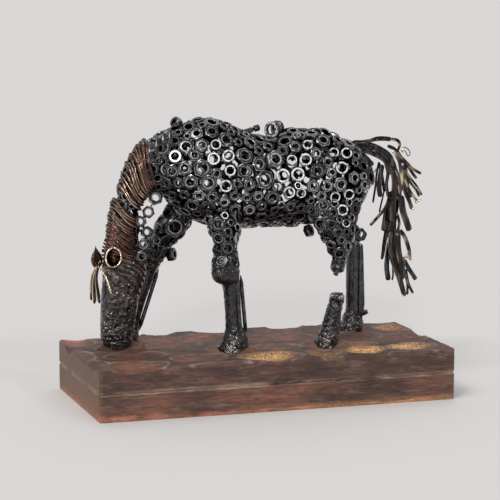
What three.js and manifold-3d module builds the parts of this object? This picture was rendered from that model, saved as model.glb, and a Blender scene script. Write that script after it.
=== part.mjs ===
// A grazing horse welded from hex nuts, tube, rod and wire, standing on a carved wooden plinth.
// Millimetres, +Z up. The origin is the centre of the plinth's underside. The horse looks towards -X
// and its near side faces -Y.
import * as THREE from "three";
import { mergeVertices } from "three/addons/utils/BufferGeometryUtils.js";
import Module from "manifold-3d";

const wasm = await Module();
wasm.setup();

// The plinth: two boards glued flat, the upper one carved all over in shallow scoops.
const plinthLength = 300;
const plinthWidth = 144;
const lowerBoardHeight = 21.8;
const boardGap = 0.3;
const carvedTop = 42.5;
// The scoops in the upper board: middle x and y, reach along x and y, and depth.
const scoops = [
  [-118, -60, 28, 17, 4.2],
  [-62, -46, 23, 17, 4],
  [-4, -56, 27, 19, 4.5],
  [42, -57, 17, 17, 5],
  [78, -53, 19, 17, 4.6],
  [119, -50, 22, 15, 4.6],
  [112, -77, 26, 9, 3.2],
  [-50, -74, 24, 8, 1.8],
  [-146, -48, 12, 20, 3],
  [-150, -10, 12, 22, 2.6],
  [-150, 35, 13, 12, 4],
  [-138, 52, 16, 18, 3.4],
  [-108, -22, 24, 20, 4.6],
  [-108, 14, 24, 22, 6],
  [-68, 14, 26, 15, 3.8],
  [-74, 45, 20, 16, 3.6],
  [-98, 66, 26, 12, 3.4],
  [-130, 72, 22, 10, 3.2],
  [-62, 70, 14, 10, 2.6],
  [-33, 38, 21, 19, 3.8],
  [-12, 70, 20, 14, 5.2],
  [-26, -20, 22, 22, 5.4],
  [12, -20, 20, 15, 3.6],
  [4, 20, 24, 18, 3.4],
  [40, 20, 20, 15, 3.4],
  [36, 50, 20, 16, 3.6],
  [52, 70, 18, 10, 3.6],
  [56, -22, 22, 22, 5.2],
  [84, -26, 14, 10, 2.8],
  [94, 8, 22, 18, 3.2],
  [126, -12, 24, 17, 3.4],
  [102, 42, 24, 18, 4.4],
  [78, 62, 18, 12, 2.8],
  [135, 38, 14, 18, 3.8],
  [140, 70, 24, 12, 5],
  [146, 5, 12, 18, 2.8],
];
const carvingStepsX = 26;
const carvingStepsY = 12;

// The horse: its middle plane, and how far welded-on pieces stay from what they are not fused with.
const middleY = 22;
const clearance = 0.3;

// The hollow body of nuts, as stations from the rump to the root of the neck. Each has the back line's
// point, the belly line's point and the half width.
const bodyStations = [
  { top: [110, 184], bottom: [108, 167], half: 9 },
  { top: [104, 197], bottom: [101, 153], half: 21 },
  { top: [90, 207], bottom: [86, 143], half: 28 },
  { top: [68, 217], bottom: [64, 138], half: 31 },
  { top: [42, 219], bottom: [42, 136], half: 32 },
  { top: [16, 213], bottom: [18, 136], half: 33 },
  { top: [-10, 222], bottom: [-8, 136.5], half: 33 },
  { top: [-34, 229.5], bottom: [-30, 138.5], half: 31 },
  { top: [-56, 225], bottom: [-49, 146], half: 27 },
  { top: [-74, 217], bottom: [-63, 156.5], half: 21 },
  { top: [-86, 211], bottom: [-71, 164], half: 14 },
];
const shell = {
  rows: 9,
  around: 10,
  wall: 5,
  rim: 0.56,
  proud: 1.4,
  groove: 0.6,
  endInset: 0.012,
  plateInset: 0.004,
};

// The neck, from inside the chest to the poll: crest point, throat point, half width and sideways place.
const neckStations = [
  { top: [-68, 212], bottom: [-60, 168], half: 18, y: middleY },
  { top: [-86.5, 210], bottom: [-71, 169], half: 16, y: middleY },
  { top: [-98.5, 196], bottom: [-79, 168], half: 13.5, y: middleY },
  { top: [-106, 177], bottom: [-86, 164], half: 12, y: middleY + 1 },
  { top: [-112, 161], bottom: [-91.5, 155], half: 11, y: middleY + 2 },
  { top: [-115, 145], bottom: [-92, 140], half: 10.5, y: middleY + 3 },
  { top: [-116, 131], bottom: [-92.5, 124], half: 10, y: middleY + 4 },
  { top: [-115, 118], bottom: [-94, 114], half: 9, y: middleY + 5 },
];

// The head hangs nose down: height, forehead x, jaw x, sideways place and half width of each section.
const headStations = [
  { z: 129, front: -120, back: -97, y: 26, half: 7 },
  { z: 118, front: -121, back: -87, y: 27, half: 11 },
  { z: 102, front: -122, back: -86, y: 28, half: 12 },
  { z: 84, front: -123.3, back: -90, y: 30, half: 10.5 },
  { z: 64, front: -123.8, back: -93, y: 32, half: 9 },
  { z: 49, front: -123.2, back: -96.5, y: 33, half: 9.5 },
  { z: 41.5, front: -120, back: -98, y: 33.5, half: 8 },
  { z: 34, front: -116, back: -100, y: 34, half: 7 },
];
// The near ear is a ring of tube, whose wall is given as radius and height. The far ear is a pointed leaf.
const nearEar = {
  at: [-117, 15, 118.5],
  tiltBack: 0.25,
  tiltAside: -0.15,
  wall: [
    [4.6, -3],
    [5.6, 4],
    [8.2, 4],
    [7.6, -3],
    [4.6, -3],
  ],
};
const farEar = { at: [-123.7, 34, 116], radius: 5.5, height: 21, sides: 4, flatness: 0.6, tilt: -0.3 };
const eyes = { x: -114, nearY: 17.6, farY: 38.4, z: 99, radius: 3.6, sides: 6, rows: 4 };
const headSides = 10;
const neckSides = 10;

// Limbs as stacks of sections: height, front x, back x, sideways place and half width.
const nearForeleg = [
  { z: 152, front: -43, back: -13, y: -1, half: 7 },
  { z: 139, front: -41, back: -14, y: -3, half: 10 },
  { z: 130, front: -37.5, back: -15.5, y: -4, half: 10 },
  { z: 118, front: -37, back: -15.5, y: -5, half: 9 },
  { z: 108, front: -38.5, back: -15, y: -5, half: 10 },
  { z: 99, front: -36, back: -14.5, y: -5, half: 9.5 },
  { z: 93, front: -30, back: -15, y: -5, half: 7.5 },
  { z: 80, front: -28.2, back: -14.5, y: -5, half: 6.5 },
  { z: 62, front: -27.2, back: -13, y: -5, half: 6.5 },
  { z: 54, front: -27.5, back: -9, y: -5, half: 8 },
  { z: 44, front: -30, back: -7.5, y: -5, half: 10 },
  { z: 34, front: -33.5, back: -10, y: -5, half: 11 },
];
const farHindLeg = [
  { z: 168, front: 74, back: 103, y: 38, half: 9 },
  { z: 150, front: 78, back: 103, y: 42, half: 10 },
  { z: 141, front: 83, back: 100.5, y: 43, half: 10 },
  { z: 135, front: 87, back: 103.5, y: 44, half: 10 },
  { z: 128, front: 92, back: 110, y: 45, half: 9.5 },
  { z: 121, front: 95, back: 110.5, y: 46, half: 9 },
  { z: 112, front: 97.2, back: 110.5, y: 46, half: 7.5 },
  { z: 62, front: 97.5, back: 110.5, y: 46, half: 6.5 },
  { z: 54, front: 95.5, back: 113, y: 46, half: 8.5 },
  { z: 44, front: 92.5, back: 113.5, y: 46, half: 10 },
  { z: 34, front: 90, back: 110, y: 46, half: 10.5 },
];
const brokenThigh = [
  { z: 158, front: 44, back: 96, y: 4, half: 10 },
  { z: 146, front: 47.5, back: 92, y: 1, half: 10 },
  { z: 134, front: 54.5, back: 88, y: -1, half: 10 },
  { z: 123, front: 61.5, back: 85, y: -2, half: 9 },
  { z: 114, front: 67, back: 81, y: -3, half: 7.5 },
  { z: 107, front: 68.5, back: 78, y: -3, half: 5.5 },
  { z: 99.5, front: 66.5, back: 75, y: -3, half: 4 },
];
const hoofStump = [
  { z: 82.5, front: 64.5, back: 75, y: -8, half: 5.5 },
  { z: 74, front: 62.5, back: 75.5, y: -8, half: 6.5 },
  { z: 66, front: 60, back: 74, y: -8, half: 7 },
  { z: 55, front: 56.5, back: 73, y: -8, half: 8.5 },
  { z: 45, front: 53, back: 71, y: -8, half: 10 },
  { z: 34, front: 49.5, back: 68, y: -8, half: 10.5 },
];

// The far foreleg reaches forward: the middle of each round section and its radius.
const farForeleg = [
  { at: [-46, 40, 156], radius: 12.5 },
  { at: [-55.5, 45, 142], radius: 13.5 },
  { at: [-62, 48, 129], radius: 12.5 },
  { at: [-70, 51, 118], radius: 10.5 },
  { at: [-73.5, 53, 108], radius: 9.3 },
  { at: [-77, 54, 99], radius: 7.5 },
  { at: [-86.5, 55, 68], radius: 6.3 },
  { at: [-90.5, 56, 56], radius: 7.3 },
  { at: [-93, 56, 46], radius: 9 },
  { at: [-96, 56, 35], radius: 10 },
];
const farForelegFlatness = 0.85;
const limbSides = 8;

// Rods: the tendon behind each lower leg, the nail head at the hind one's foot, and the bolt on the back.
const rods = [
  { from: [-14, -5, 100], to: [-9.2, -5, 50], radius: 1.5, sides: 6 },
  { from: [112, 46, 114], to: [114, 46, 55], radius: 1.5, sides: 6 },
  { from: [114.2, 46, 56], to: [115.6, 46, 53], radius: 3.6, sides: 6 },
  { from: [-67.5, 54, 100], to: [-85, 56, 48], radius: 1.5, sides: 6 },
  { from: [-9, 19, 214.8], to: [10.5, 18, 220.2], radius: 3, sides: 4 },
];

// Hex nuts that stand out from the form: middle, the way the bore points, width across corners, thickness.
const nutBore = 0.54;
const nuts = [
  { at: [23.8, 21, 217.8], bore: [0.77, 0.63, 0], across: 16, thick: 11 },
  { at: [-61.3, 22, 226], bore: [0.4, 1, 0.3], across: 11, thick: 6 },
  { at: [50.2, 10, 134], bore: [0.2, 1, 0], across: 11, thick: 6 },
  { at: [71.5, -4, 104], bore: [0.2, 0.2, 1], across: 11, thick: 7 },
  { at: [-59.3, 44, 113.8], bore: [0.5, 1, 0], across: 12.5, thick: 6 },
  { at: [-59, 35, 138], bore: [0.2, 1, -0.1], across: 18, thick: 7 },
  { at: [109, 36.5, 124], bore: [0.2, 1, 0], across: 12, thick: 6 },
  { at: [-80.5, 17, 165.3], bore: [0.1, 1, 0.2], across: 13.5, thick: 7 },
  { at: [-86.6, 17, 153.8], bore: [0.1, 1, 0.1], across: 12, thick: 7 },
  { at: [-93.2, 17, 146], bore: [0, 1, 0], across: 12, thick: 7 },
  { at: [-88.2, 17.5, 137.3], bore: [0.1, 1, 0], across: 12, thick: 7 },
  { at: [-90.5, 18, 127.4], bore: [0, 1, 0], across: 12, thick: 7 },
];

// The mane: wire hairpins over the neck, in a lock below the withers and one above the poll. A lock is given
// by its first and last place along the neck's stations.
const mane = {
  radius: 1.4,
  stand: 3,
  crestStand: 3.4,
  perLock: 6,
  halfSteps: 3,
  sweep: 0.18,
  raggedness: 0.2,
  turn: 0.56,
  lowest: 6.7,
  locks: [
    [1.55, 3.1],
    [3.85, 5.75],
  ],
};

// The tail: a spine of bundled strips that arches from the rump and hangs, and the strips that branch off
// it, each given by the points it runs through.
const tailSpine = [
  [98.5, 207.6],
  [110, 206.5],
  [121, 199],
  [130.5, 188],
  [133.5, 173],
  [131.5, 158],
  [130.5, 143],
  [130, 128],
  [132, 113],
  [136, 99],
  [141, 85],
];
const tailStrips = [
  [[105, 22, 207], [112, 19, 207.5], [120, 18, 208.2], [127.5, 18, 207.3], [134.5, 19, 198.5]],
  [[104, 22, 207], [107.5, 15, 201.5], [112.5, 12, 190.5]],
  [[121, 22, 199], [131.7, 22, 198.6], [136.9, 22, 193.2], [141.1, 22, 185.9]],
  [[121, 22, 199], [117, 16, 188], [114.5, 14, 175.7], [115.5, 14, 159.5]],
  [[131.5, 22, 158], [123, 16, 151], [114.3, 15, 141.3], [108, 15, 135.2]],
  [[131, 22, 150], [125, 19, 146], [122.4, 18, 139.7], [121.2, 18, 129.2]],
  [[130.5, 22, 138], [125, 20, 126], [122.1, 20, 113.6], [120.5, 20, 104.5]],
  [[130, 22, 124], [126, 18, 110], [124.1, 17, 96.6], [125.4, 17, 86.7]],
  [[132, 22, 112], [129.5, 14, 99], [133, 12, 87], [137.3, 12, 73.9]],
  [[136, 22, 99], [140.3, 25, 85], [144.6, 25, 71.5]],
  [[136, 22, 99], [143, 22, 90], [147.9, 22, 78.3], [150.1, 22, 73.5]],
  [[132, 22, 113], [143.9, 17, 96.6], [151.3, 17, 86.2]],
  [[130.5, 22, 138], [138.5, 16, 125], [143.3, 16, 114.2], [144.4, 16, 105]],
  [[131.5, 22, 162], [136.6, 15, 147.4], [139.6, 13, 137.7], [143.2, 13, 129]],
  [[127, 22, 193], [141.2, 20, 188], [147.4, 20, 182.1], [155.7, 20, 176.8]],
  [[132, 22, 184], [146, 27, 173], [157.6, 27, 156.8]],
  [[133.3, 22, 177], [142, 16, 165], [150.4, 16, 154]],
  [[133.3, 22, 170], [141.3, 20, 160], [148.1, 20, 146.9]],
];
const tail = { spineWidth: 7, spineThickness: 5, spineSteps: 8, width: 4, thickness: 2 };

// The forelock: bent strips in front of the face, from the poll down.
const forelock = { root: [-123.2, 25, 113.5], width: 3, thickness: 1.6, lift: 4.2, crown: 0.45, steps: 5 };
const forelockTips = [
  [-132, 27, 82],
  [-130.2, 23, 78.5],
  [-127.6, 29, 78.5],
  [-126.4, 20, 80],
];

// A closed three.js geometry as a solid that can be joined and cut.
function solidOf(geometry) {
  const bare = geometry.clone();
  for (const name of Object.keys(bare.attributes)) {
    if (name !== "position") bare.deleteAttribute(name);
  }
  const merged = mergeVertices(bare, 1e-4);
  const mesh = new wasm.Mesh({
    numProp: 3,
    vertProperties: merged.attributes.position.array,
    triVerts: new Uint32Array(merged.index.array),
  });
  return new wasm.Manifold(mesh);
}

// A solid back as a geometry with flat-shaded faces.
function geometryOf(solid) {
  const mesh = solid.getMesh();
  const geometry = new THREE.BufferGeometry();
  geometry.setAttribute("position", new THREE.BufferAttribute(mesh.vertProperties, 3));
  geometry.setIndex(new THREE.BufferAttribute(mesh.triVerts, 1));
  return geometry;
}

function join(solids) {
  return solids.reduce((whole, solid) => whole.add(solid));
}

// A repeatable number from 0 to 1 for each pair of whole numbers.
function chance(i, j) {
  const wave = Math.sin(i * 12.9898 + j * 78.233) * 43758.5453;
  return wave - Math.floor(wave);
}

function geometryFrom(points, triangles) {
  const geometry = new THREE.BufferGeometry();
  geometry.setAttribute("position", new THREE.Float32BufferAttribute(points.flatMap((p) => p.toArray()), 3));
  geometry.setIndex(triangles);
  return geometry;
}

// Triangles turned round, all of them, when they would enclose a negative volume.
function facingOut(points, triangles) {
  let volume = 0;
  for (let i = 0; i < triangles.length; i += 3) {
    const [a, b, c] = [points[triangles[i]], points[triangles[i + 1]], points[triangles[i + 2]]];
    volume += a.dot(b.clone().cross(c));
  }
  if (volume > 0) return triangles;
  const turned = [];
  for (let i = 0; i < triangles.length; i += 3) turned.push(triangles[i], triangles[i + 2], triangles[i + 1]);
  return turned;
}

// A closed skin over rings of points, each with the same count, with a flat lid on both ends.
function loft(rings) {
  const count = rings[0].length;
  const points = rings.flat();
  const triangles = [];
  for (let r = 0; r + 1 < rings.length; r += 1) {
    for (let k = 0; k < count; k += 1) {
      const a = r * count + k;
      const b = r * count + ((k + 1) % count);
      triangles.push(a, b, a + count, b, b + count, a + count);
    }
  }
  const last = (rings.length - 1) * count;
  for (let k = 1; k + 1 < count; k += 1) {
    triangles.push(0, k + 1, k);
    triangles.push(last, last + k, last + k + 1);
  }
  return geometryFrom(points, facingOut(points, triangles));
}

// Height of the carved top: the lowest of the scoops' overlapping bowls, so that ridges stay between them.
function carvedHeight(x, y) {
  let height = carvedTop;
  for (const [atX, atY, reachX, reachY, depth] of scoops) {
    const apart = ((x - atX) / reachX) ** 2 + ((y - atY) / reachY) ** 2;
    height = Math.min(height, carvedTop - depth * (1 - apart));
  }
  return height;
}

function upperBoardGeometry() {
  const floor = lowerBoardHeight + boardGap;
  const points = [];
  const index = (i, j) => j * (carvingStepsX + 1) + i;
  for (let j = 0; j <= carvingStepsY; j += 1) {
    for (let i = 0; i <= carvingStepsX; i += 1) {
      const x = (i / carvingStepsX - 0.5) * plinthLength;
      const y = (j / carvingStepsY - 0.5) * plinthWidth;
      points.push(new THREE.Vector3(x, y, carvedHeight(x, y)));
    }
  }
  const triangles = [];
  for (let j = 0; j < carvingStepsY; j += 1) {
    for (let i = 0; i < carvingStepsX; i += 1) {
      triangles.push(index(i, j), index(i + 1, j), index(i + 1, j + 1));
      triangles.push(index(i, j), index(i + 1, j + 1), index(i, j + 1));
    }
  }
  const edge = [];
  for (let i = 0; i < carvingStepsX; i += 1) edge.push(index(i, 0));
  for (let j = 0; j < carvingStepsY; j += 1) edge.push(index(carvingStepsX, j));
  for (let i = carvingStepsX; i > 0; i -= 1) edge.push(index(i, carvingStepsY));
  for (let j = carvingStepsY; j > 0; j -= 1) edge.push(index(0, j));
  const corners = new Set([
    index(0, 0),
    index(carvingStepsX, 0),
    index(carvingStepsX, carvingStepsY),
    index(0, carvingStepsY),
  ]);
  // The walls go down to four corner points, so that the underside is one rectangle.
  const below = new Map();
  for (const k of corners) {
    below.set(k, points.length);
    points.push(new THREE.Vector3(points[k].x, points[k].y, floor));
  }
  let corner = edge[0];
  edge.forEach((k, n) => {
    const next = edge[(n + 1) % edge.length];
    triangles.push(k, below.get(corner), next);
    if (corners.has(next)) {
      triangles.push(next, below.get(corner), below.get(next));
      corner = next;
    }
  });
  const [a, b, c, d] = [...below.values()];
  triangles.push(a, d, c, a, c, b);
  return geometryFrom(points, facingOut(points, triangles));
}

function lowerBoardGeometry() {
  const board = new THREE.BoxGeometry(plinthLength, plinthWidth, lowerBoardHeight);
  return board.translate(0, 0, lowerBoardHeight / 2);
}

// The body's lines, smooth through its stations.
const backPoints = bodyStations.map(({ top }) => new THREE.Vector3(top[0], middleY, top[1]));
const bellyPoints = bodyStations.map(({ bottom }) => new THREE.Vector3(bottom[0], middleY, bottom[1]));
const halfWidths = bodyStations.map(({ half }, k) => new THREE.Vector3(half, k, 0));
const backLine = new THREE.CatmullRomCurve3(backPoints);
const bellyLine = new THREE.CatmullRomCurve3(bellyPoints);
const bodyHalf = new THREE.CatmullRomCurve3(halfWidths);

// A point of the body's form: along 0 to 1 from the rump, turns 0 at the back line, depth into the metal.
function bodyPoint(along, turns, depth) {
  const top = backLine.getPoint(along);
  const bottom = bellyLine.getPoint(along);
  const middle = top.clone().add(bottom).multiplyScalar(0.5);
  const up = top.clone().sub(bottom).multiplyScalar(0.5);
  const height = up.length();
  const angle = turns * 2 * Math.PI;
  return middle
    .addScaledVector(up, (Math.cos(angle) * (height - depth)) / height)
    .add(new THREE.Vector3(0, Math.sin(angle) * (bodyHalf.getPoint(along).x - depth), 0));
}

// The body as one skin of nuts packed edge to edge: a six-sided cell for each nut, raised to the rim of
// its bore, with a groove between neighbours and the bore going right through the wall.
function nutShellGeometry() {
  const { rows, around, wall, rim, proud, groove, endInset, plateInset } = shell;
  const points = [];
  const triangles = [];
  const add = (point) => points.push(point) - 1;
  const bodyLength = backLine.getLength();
  const shrink = 1 - (2 * wall) / bodyLength;
  const outer = (along, turns, rise) => add(bodyPoint(along, turns, -rise));
  const inner = (along, turns) => add(bodyPoint(0.5 + (along - 0.5) * shrink, turns, wall));
  // A corner where cells meet sits a third of a row before or after the border between two rows.
  const placeOf = (border, m) => [
    (border - 0.5 + ((m + border) % 2 === 0 ? 1 / 3 : 2 / 3)) / rows,
    m / (2 * around),
  ];
  const borders = [];
  for (let k = 0; k <= rows; k += 1) {
    const line = [];
    for (let m = 0; m < 2 * around; m += 1) {
      const [along, turns] = placeOf(k, m);
      const kept = THREE.MathUtils.clamp(along, endInset, 1 - endInset);
      line.push({ along: kept, turns, outside: outer(kept, turns, -groove), inside: inner(kept, turns) });
    }
    borders.push(line);
  }
  const borderAt = (k, m) => {
    const count = 2 * around;
    const turned = ((m % count) + count) % count;
    const spot = borders[k][turned];
    return { ...spot, turns: spot.turns + Math.round((m - turned) / count) };
  };
  for (let row = 0; row < rows; row += 1) {
    for (let j = 0; j < around; j += 1) {
      const m = 2 * j + (row % 2);
      const loop = [
        borderAt(row, m - 1),
        borderAt(row, m),
        borderAt(row, m + 1),
        borderAt(row + 1, m + 1),
        borderAt(row + 1, m),
        borderAt(row + 1, m - 1),
      ];
      const middle = [(row + 0.5) / rows, m / (2 * around)];
      const bore = loop.map((spot) => {
        const along = middle[0] + rim * (spot.along - middle[0]);
        const turns = middle[1] + rim * (spot.turns - middle[1]);
        return { outside: outer(along, turns, proud), inside: inner(along, turns) };
      });
      loop.forEach((spot, k) => {
        const next = (k + 1) % loop.length;
        const [p, q, r, s] = [spot, loop[next], bore[next], bore[k]];
        triangles.push(p.outside, q.outside, r.outside, p.outside, r.outside, s.outside);
        triangles.push(s.outside, r.outside, r.inside, s.outside, r.inside, s.inside);
        triangles.push(s.inside, r.inside, q.inside, s.inside, q.inside, p.inside);
      });
    }
  }
  // Both ends close with a plate across the last ring of nuts.
  const plate = (line, along, turned) => {
    const outside = add(bodyPoint(along, 0, 0).lerp(bodyPoint(along, 0.5, 0), 0.5));
    const insideAlong = 0.5 + (along - 0.5) * shrink;
    const inside = add(bodyPoint(insideAlong, 0, 0).lerp(bodyPoint(insideAlong, 0.5, 0), 0.5));
    line.forEach((spot, k) => {
      const next = line[(k + 1) % line.length];
      const out = [outside, next.outside, spot.outside];
      const within = [inside, spot.inside, next.inside];
      triangles.push(...(turned ? out.reverse() : out), ...(turned ? within.reverse() : within));
    });
  };
  plate(borders[0], plateInset, false);
  plate(borders[rows], 1 - plateInset, true);
  return geometryFrom(points, facingOut(points, triangles));
}

// A ring of points round the middle of a section with a front and a back.
function levelSection({ z, front, back, y, half }, sides) {
  const ring = [];
  for (let k = 0; k < sides; k += 1) {
    const angle = ((k + 0.5) / sides) * 2 * Math.PI;
    const x = (front + back) / 2 + (Math.cos(angle) * (back - front)) / 2;
    ring.push(new THREE.Vector3(x, y + Math.sin(angle) * half, z));
  }
  return ring;
}

function limb(stations) {
  return solidOf(loft(stations.map((station) => levelSection(station, limbSides))));
}

function neckPoint({ top, bottom, half, y }, angle, stand) {
  const crest = new THREE.Vector3(top[0], y, top[1]);
  const throat = new THREE.Vector3(bottom[0], y, bottom[1]);
  const up = crest.clone().sub(throat).multiplyScalar(0.5);
  const height = up.length();
  return crest
    .clone()
    .add(throat)
    .multiplyScalar(0.5)
    .addScaledVector(up, (Math.cos(angle) * (height + stand)) / height)
    .add(new THREE.Vector3(0, Math.sin(angle) * (half + stand), 0));
}

function neckSolid() {
  const rings = neckStations.map((station) =>
    Array.from({ length: neckSides }, (_, k) => neckPoint(station, (k / neckSides) * 2 * Math.PI, 0)),
  );
  return solidOf(loft(rings));
}

// The far foreleg: round sections, each square to the line through its neighbours.
function farForelegSolid() {
  const middles = farForeleg.map(({ at }) => new THREE.Vector3(...at));
  const across = new THREE.Vector3(0, 1, 0);
  const rings = farForeleg.map(({ radius }, n) => {
    const before = middles[Math.max(0, n - 1)];
    const after = middles[Math.min(middles.length - 1, n + 1)];
    const level = n === farForeleg.length - 1;
    const square = across.clone().cross(after.clone().sub(before)).normalize();
    const forward = level ? new THREE.Vector3(-1, 0, 0) : square;
    return Array.from({ length: limbSides }, (_, k) => {
      const angle = ((k + 0.5) / limbSides) * 2 * Math.PI;
      return middles[n]
        .clone()
        .addScaledVector(forward, Math.cos(angle) * radius)
        .addScaledVector(across, Math.sin(angle) * radius * farForelegFlatness);
    });
  });
  return solidOf(loft(rings));
}

// A straight round rod between two points.
function rod({ from, to, radius, sides }) {
  const start = new THREE.Vector3(...from);
  const run = new THREE.Vector3(...to).sub(start);
  const turn = new THREE.Quaternion().setFromUnitVectors(new THREE.Vector3(0, 1, 0), run.clone().normalize());
  const middle = start.addScaledVector(run, 0.5);
  const geometry = new THREE.CylinderGeometry(radius, radius, run.length(), sides);
  return solidOf(geometry.applyQuaternion(turn).translate(middle.x, middle.y, middle.z));
}

function hexNut({ at, bore, across, thick }) {
  const outline = new THREE.Shape();
  const hole = new THREE.Path();
  for (let k = 0; k < 6; k += 1) {
    const angle = (k / 6) * 2 * Math.PI;
    const [c, s] = [Math.cos(angle), Math.sin(angle)];
    outline[k ? "lineTo" : "moveTo"]((c * across) / 2, (s * across) / 2);
    hole[k ? "lineTo" : "moveTo"]((c * across * nutBore) / 2, (s * across * nutBore) / 2);
  }
  outline.closePath();
  hole.closePath();
  outline.holes.push(hole);
  const extrusion = { depth: thick, bevelEnabled: false, curveSegments: 1 };
  const geometry = new THREE.ExtrudeGeometry(outline, extrusion);
  geometry.translate(0, 0, -thick / 2);
  const turn = new THREE.Quaternion().setFromUnitVectors(
    new THREE.Vector3(0, 0, 1),
    new THREE.Vector3(...bore).normalize(),
  );
  return solidOf(geometry.applyQuaternion(turn).translate(...at));
}

// A bar of rectangular section along a smooth line through points.
function bar(points, width, thickness, steps) {
  const section = new THREE.Shape([
    new THREE.Vector2(-thickness / 2, -width / 2),
    new THREE.Vector2(thickness / 2, -width / 2),
    new THREE.Vector2(thickness / 2, width / 2),
    new THREE.Vector2(-thickness / 2, width / 2),
  ]);
  const path = new THREE.CatmullRomCurve3(points);
  return solidOf(new THREE.ExtrudeGeometry(section, { steps, bevelEnabled: false, extrudePath: path }));
}

// The head: a tapered block, a tube ear on the near side, a leaf ear on the far side, and the eyes.
function headSolid() {
  const block = solidOf(loft(headStations.map((station) => levelSection(station, headSides))));
  const earWall = nearEar.wall.map(([radius, height]) => new THREE.Vector2(radius, height));
  const tubeUpright = new THREE.LatheGeometry(earWall, limbSides);
  const tube = tubeUpright.rotateX(nearEar.tiltBack).rotateZ(nearEar.tiltAside);
  const leaf = new THREE.ConeGeometry(farEar.radius, farEar.height, farEar.sides).scale(1, 1, farEar.flatness);
  const leafUpright = leaf.rotateX(Math.PI / 2).rotateY(farEar.tilt);
  const balls = [eyes.nearY, eyes.farY].map((y) =>
    new THREE.SphereGeometry(eyes.radius, eyes.sides, eyes.rows).translate(eyes.x, y, eyes.z),
  );
  return join([
    block,
    solidOf(tube.translate(...nearEar.at)),
    solidOf(leafUpright.translate(...farEar.at)),
    ...balls.map(solidOf),
  ]);
}

function horseSolid(plinthTop) {
  const whole = join([
    solidOf(nutShellGeometry()),
    neckSolid(),
    headSolid(),
    limb(nearForeleg),
    limb(farHindLeg),
    limb(brokenThigh),
    farForelegSolid(),
    ...rods.map(rod),
    ...nuts.map(hexNut),
  ]);
  return whole.subtract(plinthTop.translate([0, 0, clearance]));
}

// One station between two of the neck's.
function neckBetween(place) {
  const k = Math.min(Math.floor(place), neckStations.length - 2);
  const part = place - k;
  const [a, b] = [neckStations[k], neckStations[k + 1]];
  const mix = (p, q) => p + (q - p) * part;
  return {
    top: [mix(a.top[0], b.top[0]), mix(a.top[1], b.top[1])],
    bottom: [mix(a.bottom[0], b.bottom[0]), mix(a.bottom[1], b.bottom[1])],
    half: mix(a.half, b.half),
    y: mix(a.y, b.y),
  };
}

// The mane: hairpins from one flank over the crest to the other, trailing down the neck, and a crest wire
// that they are all welded to.
function maneSolid() {
  const pieces = [];
  const crest = [];
  for (const [from, to] of mane.locks) {
    for (let k = 0; k < mane.perLock; k += 1) {
      const place = from + ((to - from) * k) / (mane.perLock - 1);
      crest.push(neckPoint(neckBetween(place), 0, mane.crestStand));
      const points = [];
      for (let n = -mane.halfSteps; n <= mane.halfSteps; n += 1) {
        const trail = Math.abs(n) * mane.sweep * (1 + mane.raggedness * chance(k, n));
        const station = neckBetween(Math.min(place + trail, mane.lowest));
        points.push(neckPoint(station, n * mane.turn, mane.stand));
      }
      pieces.push(bar(points, mane.radius * 2, mane.radius * 2, 2 * mane.halfSteps));
    }
  }
  pieces.push(bar(crest, mane.radius * 2, mane.radius * 2, 2 * mane.halfSteps + 1));
  return join(pieces);
}

// The tail: flat strips through their points, welded to the spine.
function tailSolid() {
  const spine = tailSpine.map(([x, z]) => new THREE.Vector3(x, middleY, z));
  const pieces = [bar(spine, tail.spineWidth, tail.spineThickness, tail.spineSteps)];
  for (const strip of tailStrips) {
    const points = strip.map((place) => new THREE.Vector3(...place));
    pieces.push(bar(points, tail.width, tail.thickness, points.length));
  }
  return join(pieces);
}

// The forelock: strips fanning from one root to their tips.
function forelockSolid() {
  const root = new THREE.Vector3(...forelock.root);
  const strips = forelockTips.map((place) => {
    const tip = new THREE.Vector3(...place);
    const crown = root.clone().lerp(tip, forelock.crown).add(new THREE.Vector3(-forelock.lift, 0, 0));
    return bar([root, crown, tip], forelock.width, forelock.thickness, forelock.steps);
  });
  return join(strips);
}

const steel = new THREE.MeshStandardMaterial({ color: 0x26262a, roughness: 0.35, metalness: 0.9 });
const brassedWire = new THREE.MeshStandardMaterial({ color: 0x6a5030, roughness: 0.35, metalness: 0.9 });
const stainedWood = new THREE.MeshStandardMaterial({ color: 0x4a2c20, roughness: 0.6, metalness: 0 });

const horseOnPlinth = new THREE.Group();
function put(name, geometry, material) {
  const mesh = new THREE.Mesh(geometry, material);
  mesh.name = name;
  horseOnPlinth.add(mesh);
}

const upperBoard = upperBoardGeometry();
const plinthTop = solidOf(upperBoard);
const maneWhole = maneSolid();
const tailWhole = tailSolid();
const forelockWhole = forelockSolid();

put("plinth_lower_board", lowerBoardGeometry(), stainedWood);
put("plinth_upper_board", upperBoard, stainedWood);
put("horse", geometryOf(horseSolid(plinthTop)), steel);
put("mane", geometryOf(maneWhole), brassedWire);
put("tail", geometryOf(tailWhole), brassedWire);
put("forelock", geometryOf(forelockWhole), brassedWire);
put("hind_hoof_stump", geometryOf(limb(hoofStump).subtract(plinthTop.translate([0, 0, clearance]))), steel);

export default horseOnPlinth;
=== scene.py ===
# A grazing horse welded from scrap steel on a carved wooden plinth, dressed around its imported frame.
# Lengths in the dictionaries are millimetres, angles are degrees, +Z is up and the horse faces -X.
import itertools

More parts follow.
